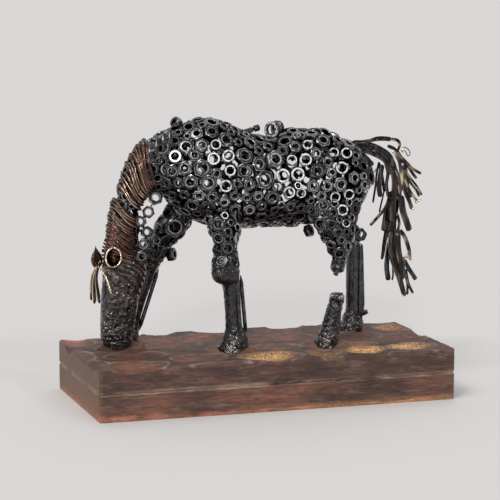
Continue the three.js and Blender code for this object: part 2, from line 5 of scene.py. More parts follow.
import bpy
import numpy as np
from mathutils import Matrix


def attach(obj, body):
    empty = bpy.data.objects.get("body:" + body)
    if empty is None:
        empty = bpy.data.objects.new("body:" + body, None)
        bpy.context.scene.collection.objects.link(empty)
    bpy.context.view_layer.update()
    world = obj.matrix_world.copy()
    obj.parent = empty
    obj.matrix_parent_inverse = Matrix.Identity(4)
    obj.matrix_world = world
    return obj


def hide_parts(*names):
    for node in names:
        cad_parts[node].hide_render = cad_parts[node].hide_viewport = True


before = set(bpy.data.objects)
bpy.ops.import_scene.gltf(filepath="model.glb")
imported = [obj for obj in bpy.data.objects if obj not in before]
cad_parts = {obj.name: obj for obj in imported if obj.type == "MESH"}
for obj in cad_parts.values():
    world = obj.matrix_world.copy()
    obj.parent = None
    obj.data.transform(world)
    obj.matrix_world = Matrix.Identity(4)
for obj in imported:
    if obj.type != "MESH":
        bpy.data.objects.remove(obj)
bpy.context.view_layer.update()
print("frame loaded:", len(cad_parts), "nodes")

millimetre = 0.001
turn = 2 * np.pi
middleY = 22.0  # the horse's middle plane


# The fraction left of a fast sine wave: a repeatable number from 0 to 1 for each pair of whole numbers.
def chance(i, j):
    wave = np.sin(i * 12.9898 + j * 78.233) * 43758.5453
    return wave - np.floor(wave)


# Catmull-Rom: the cubic through four neighbouring stations, at places 0 to 1 along the list.
def smoothCurve(stations, place):
    stations = np.asarray(stations, float)
    last = len(stations) - 1
    reach = np.clip(np.asarray(place, float), 0, 1) * last
    first = np.minimum(reach.astype(int), last - 1)
    part = (reach - first)[..., None]
    before, start, end, after = (stations[np.clip(first + step, 0, last)] for step in (-1, 0, 1, 2))
    cubic = 3 * start - before - 3 * end + after
    square = 2 * before - 5 * start + 4 * end - after
    return 0.5 * (2 * start + (end - before) * part + square * part**2 + cubic * part**3)


# Vectors over their own length.
def unit(vectors):
    return vectors / np.maximum(np.linalg.norm(vectors, axis=-1, keepdims=True), 1e-9)


# Sum of seeded sine waves in all directions, about -1 to 1, with one swell every size millimetres.
def ripple(points, size, seed, waves=9):
    rng = np.random.default_rng(seed)
    directions = unit(rng.normal(size=(waves, 3))) * rng.uniform(0.7, 1.5, (waves, 1)) * turn / size
    phases = rng.uniform(0, turn, waves)
    return np.sin(points @ directions.T + phases).sum(-1) / np.sqrt(waves)


# Weld beads: the points are turned off the axes, every cell of a grid holds one bead at a seeded spot, and
# a point rises by the highest bead's dome, the root of 1 - distance squared.
beadTurn = np.array([[0.36, 0.48, -0.80], [-0.80, 0.60, 0.00], [0.48, 0.64, 0.60]])
beadReach = 0.74  # the largest bead's radius as a share of a cell


def beads(points, pitch, seed):
    turned = points @ beadTurn
    cell = np.floor(turned / pitch)
    height = np.zeros(points.shape[:-1])
    for step in itertools.product((-1, 0, 1), repeat=3):
        near = cell + step
        mixed = near @ np.array([1.0, 57.0, 113.0]) + seed
        spot = np.stack([chance(mixed, axis) for axis in (1, 2, 3)], -1)
        size = beadReach * pitch * (0.55 + 0.45 * chance(mixed, 4))
        away = np.linalg.norm(turned - (near + 0.1 + 0.8 * spot) * pitch, axis=-1) / size
        height = np.maximum(height, np.sqrt(np.clip(1 - away**2, 0, None)) * (0.4 + 0.6 * chance(mixed, 5)))
    return height


# The four corners of each face of a grid of points, closed round either way where asked.
def gridFaces(rows, columns, closedRows=False, closedColumns=False):
    i = np.arange(rows if closedRows else rows - 1)[:, None]
    k = np.arange(columns if closedColumns else columns - 1)[None, :]
    nextRow, nextColumn = (i + 1) % rows, (k + 1) % columns
    row, nextRow = i * columns, nextRow * columns
    corners = np.broadcast_arrays(row + k, nextRow + k, nextRow + nextColumn, row + nextColumn)
    return np.stack(corners, -1).reshape(-1, 4)


# The same faces for each of several copies whose points follow one another.
def copied(faces, count, size):
    return (faces[None] + (np.arange(count) * size)[:, None, None]).reshape(-1, faces.shape[1])


# Walls and both ends of count tubes, each of rows of points in rings of columns.
def tubeFaces(rows, columns, count=1):
    ring = np.arange(columns)
    ends = np.array([ring, ring[::-1] + (rows - 1) * columns])
    return [copied(faces, count, rows * columns) for faces in (gridFaces(rows, columns, False, True), ends)]


# Outward normals of a grid of points in closed rings, from the cross product of its two directions.
def gridNormals(grid):
    down = np.gradient(grid, axis=0)
    across = (np.roll(grid, -1, 1) - np.roll(grid, 1, 1)) / 2
    normals = unit(np.cross(down, across))
    outward = ((grid - grid.mean(1, keepdims=True)) * normals).sum()
    return normals if outward > 0 else -normals


# Places 0 to 1 along a form and round it, as a grid of rows and columns.
def gridPlaces(rows, columns, first=0.0, last=1.0):
    return np.meshgrid(np.linspace(first, last, rows), np.arange(columns) / columns, indexing="ij")


# Points and normals all over a surface, as two plain lists.
def samples(surface, rows, columns, first=0.0, last=1.0):
    grid = surface(*gridPlaces(rows, columns, first, last))
    return grid.reshape(-1, 3), gridNormals(grid).reshape(-1, 3)


# Several shapes as one: points end to end, faces renumbered to match, marks end to end.
def gather(shapes):
    points, faces, marks, start = [], {}, {}, 0
    for shapePoints, shapeFaces, shapeMarks in shapes:
        points.append(shapePoints)
        for group in shapeFaces:
            faces.setdefault(group.shape[1], []).append(group + start)
        for label, values in shapeMarks.items():
            marks.setdefault(label, []).append(np.broadcast_to(values, len(shapePoints)))
        start += len(shapePoints)
    joined = [np.concatenate(groups) for groups in faces.values()]
    return np.concatenate(points), joined, {label: np.concatenate(v) for label, v in marks.items()}


# Makes shapes into one new piece that stands for a CAD node. Faces are turned round where the whole
# shape's signed volume, the sum of a . (b x c) over its triangles, comes out negative.
def addPiece(name, shapes, material, slotName, node, sharp=None):
    points, faces, marks = gather(shapes)
    volume = 0.0
    for group in faces:
        for k in range(1, group.shape[1] - 1):
            a, b, c = points[group[:, 0]], points[group[:, k]], points[group[:, k + 1]]
            volume += (a * np.cross(b, c)).sum()
    if volume < 0:
        faces = [group[:, ::-1] for group in faces]
    mesh = bpy.data.meshes.new(name)
    mesh.from_pydata((points * millimetre).tolist(), [], [f for group in faces for f in group.tolist()])
    mesh.polygons.foreach_set("use_smooth", np.ones(len(mesh.polygons), bool))
    for label, values in marks.items():
        layer = mesh.attributes.new(label, "FLOAT", "POINT")
        layer.data.foreach_set("value", values.astype(np.float32))
    if sharp is not None:
        mesh.set_sharp_from_angle(angle=np.radians(sharp))
    mesh.materials.append(material)
    mesh.update()
    piece = bpy.data.objects.new(name, mesh)
    bpy.context.scene.collection.objects.link(piece)
    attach(piece, "root")
    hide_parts(node)
    print(f"{name}: {len(points)} points")


def newMaterial(name):
    material = bpy.data.materials.new(name)
    material.use_nodes = True
    return material, material.node_tree, material.node_tree.nodes["Principled BSDF"]


# Gives a node's inputs their values, or links them where the value comes from another node.
def feed(node, inputs):
    for key, value in inputs.items():
        if isinstance(value, bpy.types.NodeSocket):
            node.id_data.links.new(value, node.inputs[key])
        else:
            node.inputs[key].default_value = value


def addNode(tree, kind, inputs, **settings):
    node = tree.nodes.new(kind)
    for key, value in settings.items():
        setattr(node, key, value)
    feed(node, inputs)
    return node.outputs


def objectPlace(tree, scale=(1, 1, 1)):
    place = addNode(tree, "ShaderNodeTexCoord", {})["Object"]
    return addNode(tree, "ShaderNodeMapping", {"Vector": place, "Scale": scale})["Vector"]


def noise(tree, place, scale, detail=3.0, roughness=0.55):
    inputs = {"Vector": place, "Scale": scale, "Detail": detail, "Roughness": roughness}
    return addNode(tree, "ShaderNodeTexNoise", inputs)["Fac"]


def ramp(tree, value, low, high, start=0.0, end=1.0):
    inputs = {"Value": value, "From Min": low, "From Max": high, "To Min": start, "To Max": end}
    return addNode(tree, "ShaderNodeMapRange", inputs)["Result"]


def mixColours(tree, share, first, second, blend="MIX"):
    inputs = {0: share, 6: first, 7: second}  # the colour sockets of a mix node
    return addNode(tree, "ShaderNodeMix", inputs, data_type="RGBA", blend_type=blend)[2]


def times(tree, first, second):
    return addNode(tree, "ShaderNodeMath", {0: first, 1: second}, operation="MULTIPLY")[0]


def attribute(tree, name):
    return addNode(tree, "ShaderNodeAttribute", {}, attribute_name=name)["Fac"]


def bump(tree, height, strength, distance):
    inputs = {"Height": height, "Strength": strength, "Distance": distance}
    return addNode(tree, "ShaderNodeBump", inputs)["Normal"]


# Scales are waves per metre, and each pair of shares is where a noise starts and stops to count.
steelLook = {
    "lacquer": (0.006, 0.006, 0.007, 1),
    # near-white of the edges: bare metal where the lacquer wore, and painted highlight
    "bright": (0.90, 0.89, 0.88, 1),
    "metallic": (0.9, 0.0),  # under the lacquer, and on edges painted near-white: partly bare metal, partly painted highlight
    "coat": 0.8,
    "coatRoughness": 0.07,
    "patches": (260, 4),  # scale and detail
    "patchShares": (0.34, 0.68),
    "scuffs": (330, 2),
    "scuffShares": (0.34, 0.52),
    "smears": 520,
    "rimShares": (0.28, 0.85),
    "bumpDepth": 0.0005,
}
steels = {
    "nutSteel": {"grain": 900, "bump": 0.12, "roughness": (0.18, 0.42), "worn": (0.26, 0.25, 0.262, 1)},
    "roughSteel": {"grain": 950, "bump": 0.75, "roughness": (0.12, 0.34), "worn": (0.31, 0.275, 0.26, 1)},
}


# Black lacquer over steel. The shade attribute says how much paler steel shows: wear on a nut's face,
# none in its bore and underside as painted shade, and painted light on bright listed nuts and the hooves.
# The rim attribute marks edges painted near-white, partly bare metal and partly painted highlight and
# glints.
def steelMaterial(name):
    material, tree, shader = newMaterial(name)
    look = {**steelLook, **steels[name]}
    place = objectPlace(tree)
    patches = ramp(tree, noise(tree, place, *look["patches"]), *look["patchShares"])
    face = times(tree, patches, attribute(tree, "shade"))
    scuffs = ramp(tree, noise(tree, place, *look["scuffs"]), *look["scuffShares"])
    edge = times(tree, ramp(tree, attribute(tree, "rim"), *look["rimShares"]), scuffs)
    cells = addNode(tree, "ShaderNodeTexVoronoi", {"Vector": place, "Scale": look["grain"]})["Distance"]
    colour = mixColours(tree, face, look["lacquer"], look["worn"])
    feed(shader, {
        "Base Color": mixColours(tree, edge, colour, look["bright"]),
        "Roughness": ramp(tree, noise(tree, place, look["smears"]), 0.3, 0.7, *look["roughness"]),
        "Metallic": ramp(tree, edge, 0.2, 0.9, *look["metallic"]),
        "Coat Weight": look["coat"],
        "Coat Roughness": look["coatRoughness"],
        "Normal": bump(tree, cells, look["bump"], look["bumpDepth"]),
    })
    return material


gildLook = {
    "lacquer": (0.008, 0.007, 0.007, 1),
    "rust": (0.110, 0.042, 0.025, 1),
    # gold rubbed on edges and wires, also standing in for painted highlights
    "gold": (0.98, 0.82, 0.56, 1),
    "paintedSheen": (0.34, 0.31, 0.28, 1),
    "metallic": 0.9,
    "coat": 0.5,
    "coatRoughness": 0.12,
    "roughness": (0.12, 0.32),
    "scales": {"rust": 120, "paintedSheen": 330, "rub": 240, "smears": 500, "bump": 700},
    "bump": (0.35, 0.0004),  # strength and depth
}
# Where rust starts to show in its noise, how strong the painted sheen of pale patches is and how the pattern
# is stretched.
gilded = {
    "gildedWire": {"rustFrom": 0.30, "paintedSheenShare": 0.06, "stretch": (1, 1, 1)},
    "gildedStrip": {"rustFrom": 0.56, "paintedSheenShare": 0.28, "stretch": (1, 1, 0.16)},
}


# Dark lacquer with gold on the proud edges, partly rubbed gold and partly painted highlight, which the
# gildAndHighlight attribute, squared, marks.
def gildedMaterial(name):
    material, tree, shader = newMaterial(name)
    look = {**gildLook, **gilded[name]}
    scales, place = look["scales"], objectPlace(tree, look["stretch"])
    rusty = ramp(tree, noise(tree, place, scales["rust"]), look["rustFrom"], look["rustFrom"] + 0.2)
    under = mixColours(tree, rusty, look["lacquer"], look["rust"])
    # painted sheen: pale patches standing in for highlights on the lacquer
    pale = ramp(tree, noise(tree, place, scales["paintedSheen"]), 0.50, 0.66, 0, look["paintedSheenShare"])
    under = mixColours(tree, pale, under, look["paintedSheen"])
    proud = times(tree, attribute(tree, "gildAndHighlight"), attribute(tree, "gildAndHighlight"))
    goldAndHighlight = times(tree, proud, ramp(tree, noise(tree, place, scales["rub"], 2), 0.30, 0.50))
    feed(shader, {
        "Base Color": mixColours(tree, goldAndHighlight, under, look["gold"]),
        "Roughness": ramp(tree, noise(tree, place, scales["smears"]), 0.3, 0.7, *look["roughness"]),
        "Metallic": look["metallic"],
        "Coat Weight": look["coat"],
        "Coat Roughness": look["coatRoughness"],
        "Normal": bump(tree, noise(tree, place, scales["bump"]), *look["bump"]),
    })
    return material


# Noises drawn out along the grain: stretch, scale, detail and roughness.
woodGrains = {
    "streaks": ((0.12, 1, 1), 620, 8, 0.72),
    "broad": ((0.3, 1, 1), 60, 6, 0.7),
    "blotches": ((0.35, 1, 1), 150, 7, 0.72),
    "fibres": ((1, 0.22, 1), 620, 5, 0.7),
}
# Colours laid over each other in turn: the attribute that marks where, the noise it is broken up by, where
# that noise starts and stops to count, and how strong the colour is there.
woodLayers = [
    ((0.125, 0.058, 0.040, 1), None, "broad", (0.38, 0.66), (0, 1)),  # brown over burnt
    ((0.150, 0.078, 0.032, 1), "ends", None, None, 0.75),  # end grain
    ((0.190, 0.135, 0.105, 1), None, "blotches", (0.50, 0.64), (0, 0.6)),  # grey
    ((0.460, 0.185, 0.115, 1), "hollow", "blotches", (0.36, 0.60), (1.25, 0.25)),  # red in the scoops, stronger on their far slopes as painted light
    ((0.400, 0.300, 0.260, 1), "crest", "blotches", (0.36, 0.60), (0.2, 1.0)),  # painted highlight: pale lines on the ridges between them
    ((0.900, 0.560, 0.220, 1), "bare", "fibres", (0.38, 0.58), (0.1, 1.0)),  # scoops where the stain is thin, shown on their far slopes only, as painted light
    ((0.420, 0.310, 0.230, 1), "edge", "broad", (0.35, 0.6), (0, 1)),  # lines along the joint and the foot
]
woodLook = {
    "burnt": (0.054, 0.027, 0.021, 1),
    "streaks": ((0.42, 0.40, 0.40, 1), (1.40, 1.33, 1.27, 1)),  # the stain is multiplied by these
    "roughness": (0.38, 0.62),
    "bump": (0.55, 0.0010),
}


# Stained wood: each layer's share is its attribute times its noise, and streaks along X darken the whole.
def woodMaterial():
    material, tree, shader = newMaterial("stainedWood")
    grains = {}
    for label, (stretch, *grain) in woodGrains.items():
        grains[label] = noise(tree, objectPlace(tree, stretch), *grain)
    stain = woodLook["burnt"]
    for colour, mark, grain, counts, strength in woodLayers:
        share = ramp(tree, grains[grain], *counts, *strength) if grain else strength
        if mark:
            share = times(tree, attribute(tree, mark), share)
        stain = mixColours(tree, share, stain, colour)
    dark = mixColours(tree, ramp(tree, grains["streaks"], 0.34, 0.62), *woodLook["streaks"])
    feed(shader, {
        "Base Color": mixColours(tree, 1.0, stain, dark, "MULTIPLY"),
        "Roughness": ramp(tree, grains["streaks"], 0.3, 0.7, *woodLook["roughness"]),
        "Normal": bump(tree, grains["streaks"], *woodLook["bump"]),
    })
    return material


studio = {
    "cameraPlace": (-0.5298, -1.6321, 0.3624),
    "cameraTilt": 81.98,
    "cameraTurn": -17.86,
    "lens": 151.2,
    "filmWidth": 36.0,
    "floorSize": 80.0,
    "floorColour": (0.74, 0.715, 0.70, 1),
    "floorRoughness": 0.8,
    "skyColour": (0.93, 0.95, 1.0, 1),
    "skyStrength": 0.34,
}
# Far soft discs of light: height above the horizon, bearing and width across, then strength and colour.
studioLights = [
    (52, 215, 30, 1.05, (1.0, 0.985, 0.96)),
    (24, 248, 9, 0.56, (1.0, 1.0, 1.0)),
    (44, 228, 7, 0.34, (1.0, 0.99, 0.97)),
    (34, 300, 8, 0.26, (0.97, 0.98, 1.0)),
    (62, 75, 50, 0.65, (1.0, 1.0, 1.0)),
]


def buildStudio():
    scene = bpy.context.scene
    lens = bpy.data.cameras.new("photoView")
    lens.lens = studio["lens"]
    lens.sensor_width = studio["filmWidth"]
    camera = bpy.data.objects.new("photoView", lens)
    camera.location = studio["cameraPlace"]
    camera.rotation_euler = (np.radians(studio["cameraTilt"]), 0, np.radians(studio["cameraTurn"]))
    scene.collection.objects.link(camera)
    scene.camera = camera
    half = studio["floorSize"] / 2
    mesh = bpy.data.meshes.new("floor")
    corners = [(-half, -half, 0), (half, -half, 0), (half, half, 0), (-half, half, 0)]
    mesh.from_pydata(corners, [], [(0, 1, 2, 3)])
    material, _, shader = newMaterial("paleFloor")
    feed(shader, {"Base Color": studio["floorColour"], "Roughness": studio["floorRoughness"]})
    mesh.materials.append(material)
    floor = bpy.data.objects.new("floor", mesh)
    scene.collection.objects.link(floor)
    world = bpy.data.worlds.new("studio")
    world.use_nodes = True
    sky = {"Color": studio["skyColour"], "Strength": studio["skyStrength"]}
    feed(world.node_tree.nodes["Background"], sky)
    scene.world = world
    for k, (height, bearing, width, strength, colour) in enumerate(studioLights):
        light = bpy.data.lights.new(f"softDisc{k}", "SUN")
        light.angle = np.radians(width)
        light.energy = strength
        light.color = colour
        lamp = bpy.data.objects.new(f"softDisc{k}", light)
        lamp.rotation_euler = (np.radians(90 - height), 0, np.radians(bearing + 90))
        scene.collection.objects.link(lamp)
    scene.view_settings.view_transform = "Standard"
    print("studio ready")


# Each row of a nut's section: radius as a share of half the width across flats, 1 where the outline is
# six-sided, height as a share of half the thickness, how bright the edge is, partly as painted highlight,
# and how worn the face, near 0 in the bore and underneath as painted shade.
nutSections = {
    "hex": [(0.56, 0, -0.85, 0, 0), (0.56, 0, 0.80, 0, 0.05), (0.64, 0, 1.0, 1.0, 0.8),
            (0.92, 0, 1.0, 0.15, 1.0), (1.0, 1, 0.0, 0.95, 0.6), (1.0, 1, -0.95, 0, 0)],
    "ring": [(0.68, 0, -0.85, 0, 0), (0.68, 0, 0.84, 0, 0.05), (0.74, 0, 1.0, 1.1, 1.0),
             (0.94, 0, 1.0, 0.9, 1.0), (1.02, 0, 0.78, 0.4, 0.6), (1.02, 0, -0.95, 0, 0)],
}
nutLook = {
    "turns": 12,
    "chamfer": (0.94, 1.25),  # the reach at which it starts and how fast it drops from there
    "rim": (0.42, 0.80),  # brightness of a nut's edges, partly painted highlight: this much, and more by its shade
    "overlap": 0.92,  # a nut needs this share of its radius free
    "scatter": 1.2,  # millimetres by which a spot's rank in the packing is shifted
    "flatShare": 0.95,  # half the width across flats, as a share of the packing radius
    "thickness": (0.85, 1.2),  # as a share of half the width across flats
    "tilt": 0.13,
    "sink": (-0.2, 1.5),  # least and most, for a nut with the radius below, and in step for others
    "sinkRadius": 6,
    "ringShare": 0.14,
    "shade": {"ring": (0.06, 0.30), "hex": (0.05, 0.34)},  # the least, and what the brightest have more
    "rarity": 2.2,  # the higher, the fewer bright ones
    "listed": (0.05, 1.5),  # a listed nut's shade, partly painted highlight, is the first + its brightness to the second
    "ringFrom": 0.6,
    "shine": (-0.33, -0.91, 0.25),  # listed nuts that are bright lean this way, to catch the light
    "lean": 0.75,
}


nutFields = ("middle", "axis", "radius", "thick", "kind", "shade")


# One nut as rings of points round its bore. A six-sided ring's radius is 1 over the cosine of the angle
# to the nearest flat, and its chamfer drops with that radius.
def nutTemplate(kind):
    angles = np.arange(nutLook["turns"]) / nutLook["turns"] * turn
    sixSided = 1 / np.cos(np.mod(angles, turn / 6) - turn / 12)
    begins, drop = nutLook["chamfer"]
    rings = []
    for radius, hexed, height, *_ in nutSections[kind]:
        reach = radius * (sixSided if hexed else np.ones(len(angles)))
        level = np.full(len(angles), height)
        if hexed and height == 0.0:
            level = 1.0 - (sixSided - begins) * drop
        rings.append(np.stack([np.cos(angles) * reach, np.sin(angles) * reach, level], -1))
    return np.array(rings).reshape(-1, 3)


# One value of every nut, as an array.
def each(nuts, key):
    return np.array([nut[key] for nut in nuts], float)


# Nuts of one kind at once: point = middle + half width * (x, y) in the nut's plane + half thickness * z on
# its axis.
def nutShapes(nuts, rng):
    section, template = nutSections[nuts[0]["kind"]], nutTemplate(nuts[0]["kind"])
    axes = unit(each(nuts, "axis"))
    spin = rng.uniform(0, turn, len(nuts))
    aside = unit(np.cross(axes, np.where(np.abs(axes[:, 2:]) > 0.9, [[1.0, 0, 0]], [[0, 0, 1.0]])))
    across = np.cross(axes, aside)
    first = aside * np.cos(spin)[:, None] + across * np.sin(spin)[:, None]
    second = np.cross(axes, first)
    plane = template[None, :, :1] * first[:, None] + template[None, :, 1:2] * second[:, None]
    points = each(nuts, "middle")[:, None] + each(nuts, "radius")[:, None, None] * plane
    points = points + ((each(nuts, "thick") / 2)[:, None] * template[None, :, 2])[..., None] * axes[:, None]
    faces = copied(gridFaces(len(section), nutLook["turns"], True, True), len(nuts), len(template))
    # shade: wear times the row's share, dark in the bore as painted shade; rim: edges painted bright, partly
    # highlight
    wear = np.repeat(each(nuts, "shade"), len(template))
    looks = np.array(section, float)[:, 3:].repeat(nutLook["turns"], 0)
    bright, worn = np.tile(looks, (len(nuts), 1)).T
    least, more = nutLook["rim"]
    rim = np.clip(bright * (least + more * wear), 0, 1)
    return points.reshape(-1, 3), [faces], {"shade": wear * worn, "rim": rim}


# Packs nuts over sample points, always into the corner nearest to two nuts that are there already. A spot
# is free for a nut where the nearest nut's rim is at least that nut's radius away, less a slight overlap.
def packNuts(points, sizes, shares, seed, placed=()):
    rng = np.random.default_rng(seed)
    nearest = np.full(len(points), 1e3)
    second = np.full(len(points), 1e3)
    found = []

    def mark(middle, radius):
        gap = np.linalg.norm(points - middle, axis=1) - radius
        second[:] = np.minimum(second, np.maximum(nearest, gap))
        nearest[:] = np.minimum(nearest, gap)

    for spot, radius in placed:
        mark(points[spot], radius)
    ordered = sorted(sizes, reverse=True)
    while True:
        pick = ordered.index(rng.choice(sizes, p=shares))
        for radius in ordered[pick:]:
            free = np.flatnonzero(nearest >= nutLook["overlap"] * radius)
            if len(free):
                break
        else:
            return found  # not even the smallest fits anywhere
        score = second[free] + 0.5 * nearest[free] + rng.uniform(0, nutLook["scatter"], len(free))
        best = free[np.argmin(score)]
        found.append((best, radius))
        mark(points[best], radius)


# Nuts from packed spots: leaning a little off the surface, sunk to differing depths.
def settleNuts(points, normals, found, seed, loose=1.0):
    rng = np.random.default_rng(seed)
    nuts = []
    for spot, radius in found:
        axis = unit(normals[spot] + rng.normal(0, nutLook["tilt"] * loose, 3))
        half = radius * nutLook["flatShare"]
        thick = half * rng.uniform(*nutLook["thickness"])
        sink = thick / 2 + rng.uniform(*nutLook["sink"]) * radius / nutLook["sinkRadius"] * loose
        kind = "ring" if rng.uniform() < nutLook["ringShare"] else "hex"
        least, more = nutLook["shade"][kind]
        shade = least + more * rng.uniform() ** nutLook["rarity"]
        nuts.append(dict(zip(nutFields, (points[spot] - axis * sink, axis, half, thick, kind, shade))))
    return nuts


tackForm = {
    "rows": 5,
    "columns": 7,
    "pole": 0.12,  # radians from the pole to the first ring
    "stretch": (0.75, 1.3),
    "shade": (0.0, 0.12),
    "share": 0.9,  # of the gaps between neighbouring nuts that get a tack
    "neighbours": 1.22,  # nuts are that when they lie within this many times their radii
}


# Weld tacks: small balls, each stretched at random along the axes, at given points and of given radii.
def tackShapes(middles, radii, seed):
    rng = np.random.default_rng(seed)
    rows, columns, pole = tackForm["rows"], tackForm["columns"], tackForm["pole"]
    across, down = np.meshgrid(np.arange(columns) / columns * turn, np.linspace(pole, np.pi - pole, rows))
    ball = np.stack([np.sin(down) * np.cos(across), np.sin(down) * np.sin(across), np.cos(down)], -1)
    stretch = rng.uniform(*tackForm["stretch"], (len(middles), 1, 3))
    radii = np.asarray(radii)[:, None, None]
    points = np.asarray(middles)[:, None] + radii * ball.reshape(-1, 3)[None] * stretch
    shade = np.repeat(rng.uniform(*tackForm["shade"], len(middles)), rows * columns)
    return points.reshape(-1, 3), tubeFaces(rows, columns, len(middles)), {"shade": shade, "rim": 0.0}


# Points between the undersides of neighbouring nuts, parted by their radii, where the welder's tacks are.
def tackSpots(nuts, seed):
    rng = np.random.default_rng(seed)
    middles = each(nuts, "middle") - unit(each(nuts, "axis")) * each(nuts, "thick")[:, None] * 0.5
    radii = each(nuts, "radius")
    apart = np.linalg.norm(middles[:, None] - middles[None], axis=-1)
    close = np.triu(apart < (radii[:, None] + radii[None]) * tackForm["neighbours"], 1)
    first, second = np.nonzero(close)
    kept = rng.uniform(size=len(first)) < tackForm["share"]
    first, second = first[kept], second[kept]
    part = (radii[first] / (radii[first] + radii[second]))[:, None]
    return middles[first] * (1 - part) + middles[second] * part


# How the nuts of each piece are tacked: the tacks' radii, and seeds for spots, radii, tacks and nuts.
welding = {
    "bodyNuts": {"radii": (2.1, 3.3), "seeds": (11, 5, 6, 3)},
    "limbNuts": {"radii": (1.0, 2.1), "seeds": (46, 47, 48, 45)},
    "neckNuts": {"radii": (0.8, 1.5), "seeds": (51, 52, 53, 54)},
}
nutEdge = 28  # steeper edges of a nut stay sharp


# A piece of nuts, the tacks between them and what else is welded on.
def addNuts(name, nuts, material, others=()):
    spotSeed, sizeSeed, tackSeed, nutSeed = welding[name]["seeds"]
    spots = tackSpots(nuts, spotSeed)
    radii = np.random.default_rng(sizeSeed).uniform(*welding[name]["radii"], len(spots))
    rng = np.random.default_rng(nutSeed)
    kinds = [[nut for nut in nuts if nut["kind"] == kind] for kind in nutSections]
    shapes = [nutShapes(alike, rng) for alike in kinds if alike]
    shapes += [tackShapes(spots, radii, tackSeed), *others]
    addPiece(name, shapes, material, "black_steel", "horse", nutEdge)
    print(f"  {len(nuts)} nuts and {len(spots)} weld tacks")


bodyForm = {
    "back": [(110, 184), (104, 197), (90, 207), (68, 217), (42, 219), (16, 213.5), (-10, 222), (-34, 229.5),
             (-56, 225), (-74, 217), (-86, 211)],
    "belly": [(108, 167), (101, 153), (86, 143), (64, 138), (42, 136), (18, 136), (-8, 136.5), (-30, 138.5),
              (-49, 146), (-63, 156.5), (-71, 164)],
    "half": [9, 21, 28, 31, 32, 33, 33, 31, 27, 21, 14],
    "nutRadii": [6.8, 5.9, 5.1, 4.4, 3.5],
    "nutShares": [0.27, 0.28, 0.25, 0.17, 0.03],
    "seed": 11,
    "samples": (210, 200),
    "rumpEnd": ((107, middleY, 176), (1, 0, 0.1), 7, 6, "hex", 0.6),
}


# Body surface: middle of back and belly points + up * cosine + half width * sine, over along and turns.
def bodySurface(along, turns):
    back = smoothCurve(bodyForm["back"], along)
    belly = smoothCurve(bodyForm["belly"], along)
    half = smoothCurve([[h] for h in bodyForm["half"]], along)[..., 0]
    angle = turns * turn
    middle = (back + belly) / 2 + (back - belly) / 2 * np.cos(angle)[..., None]
    return np.stack([middle[..., 0], middleY + half * np.sin(angle), middle[..., 1]], -1)


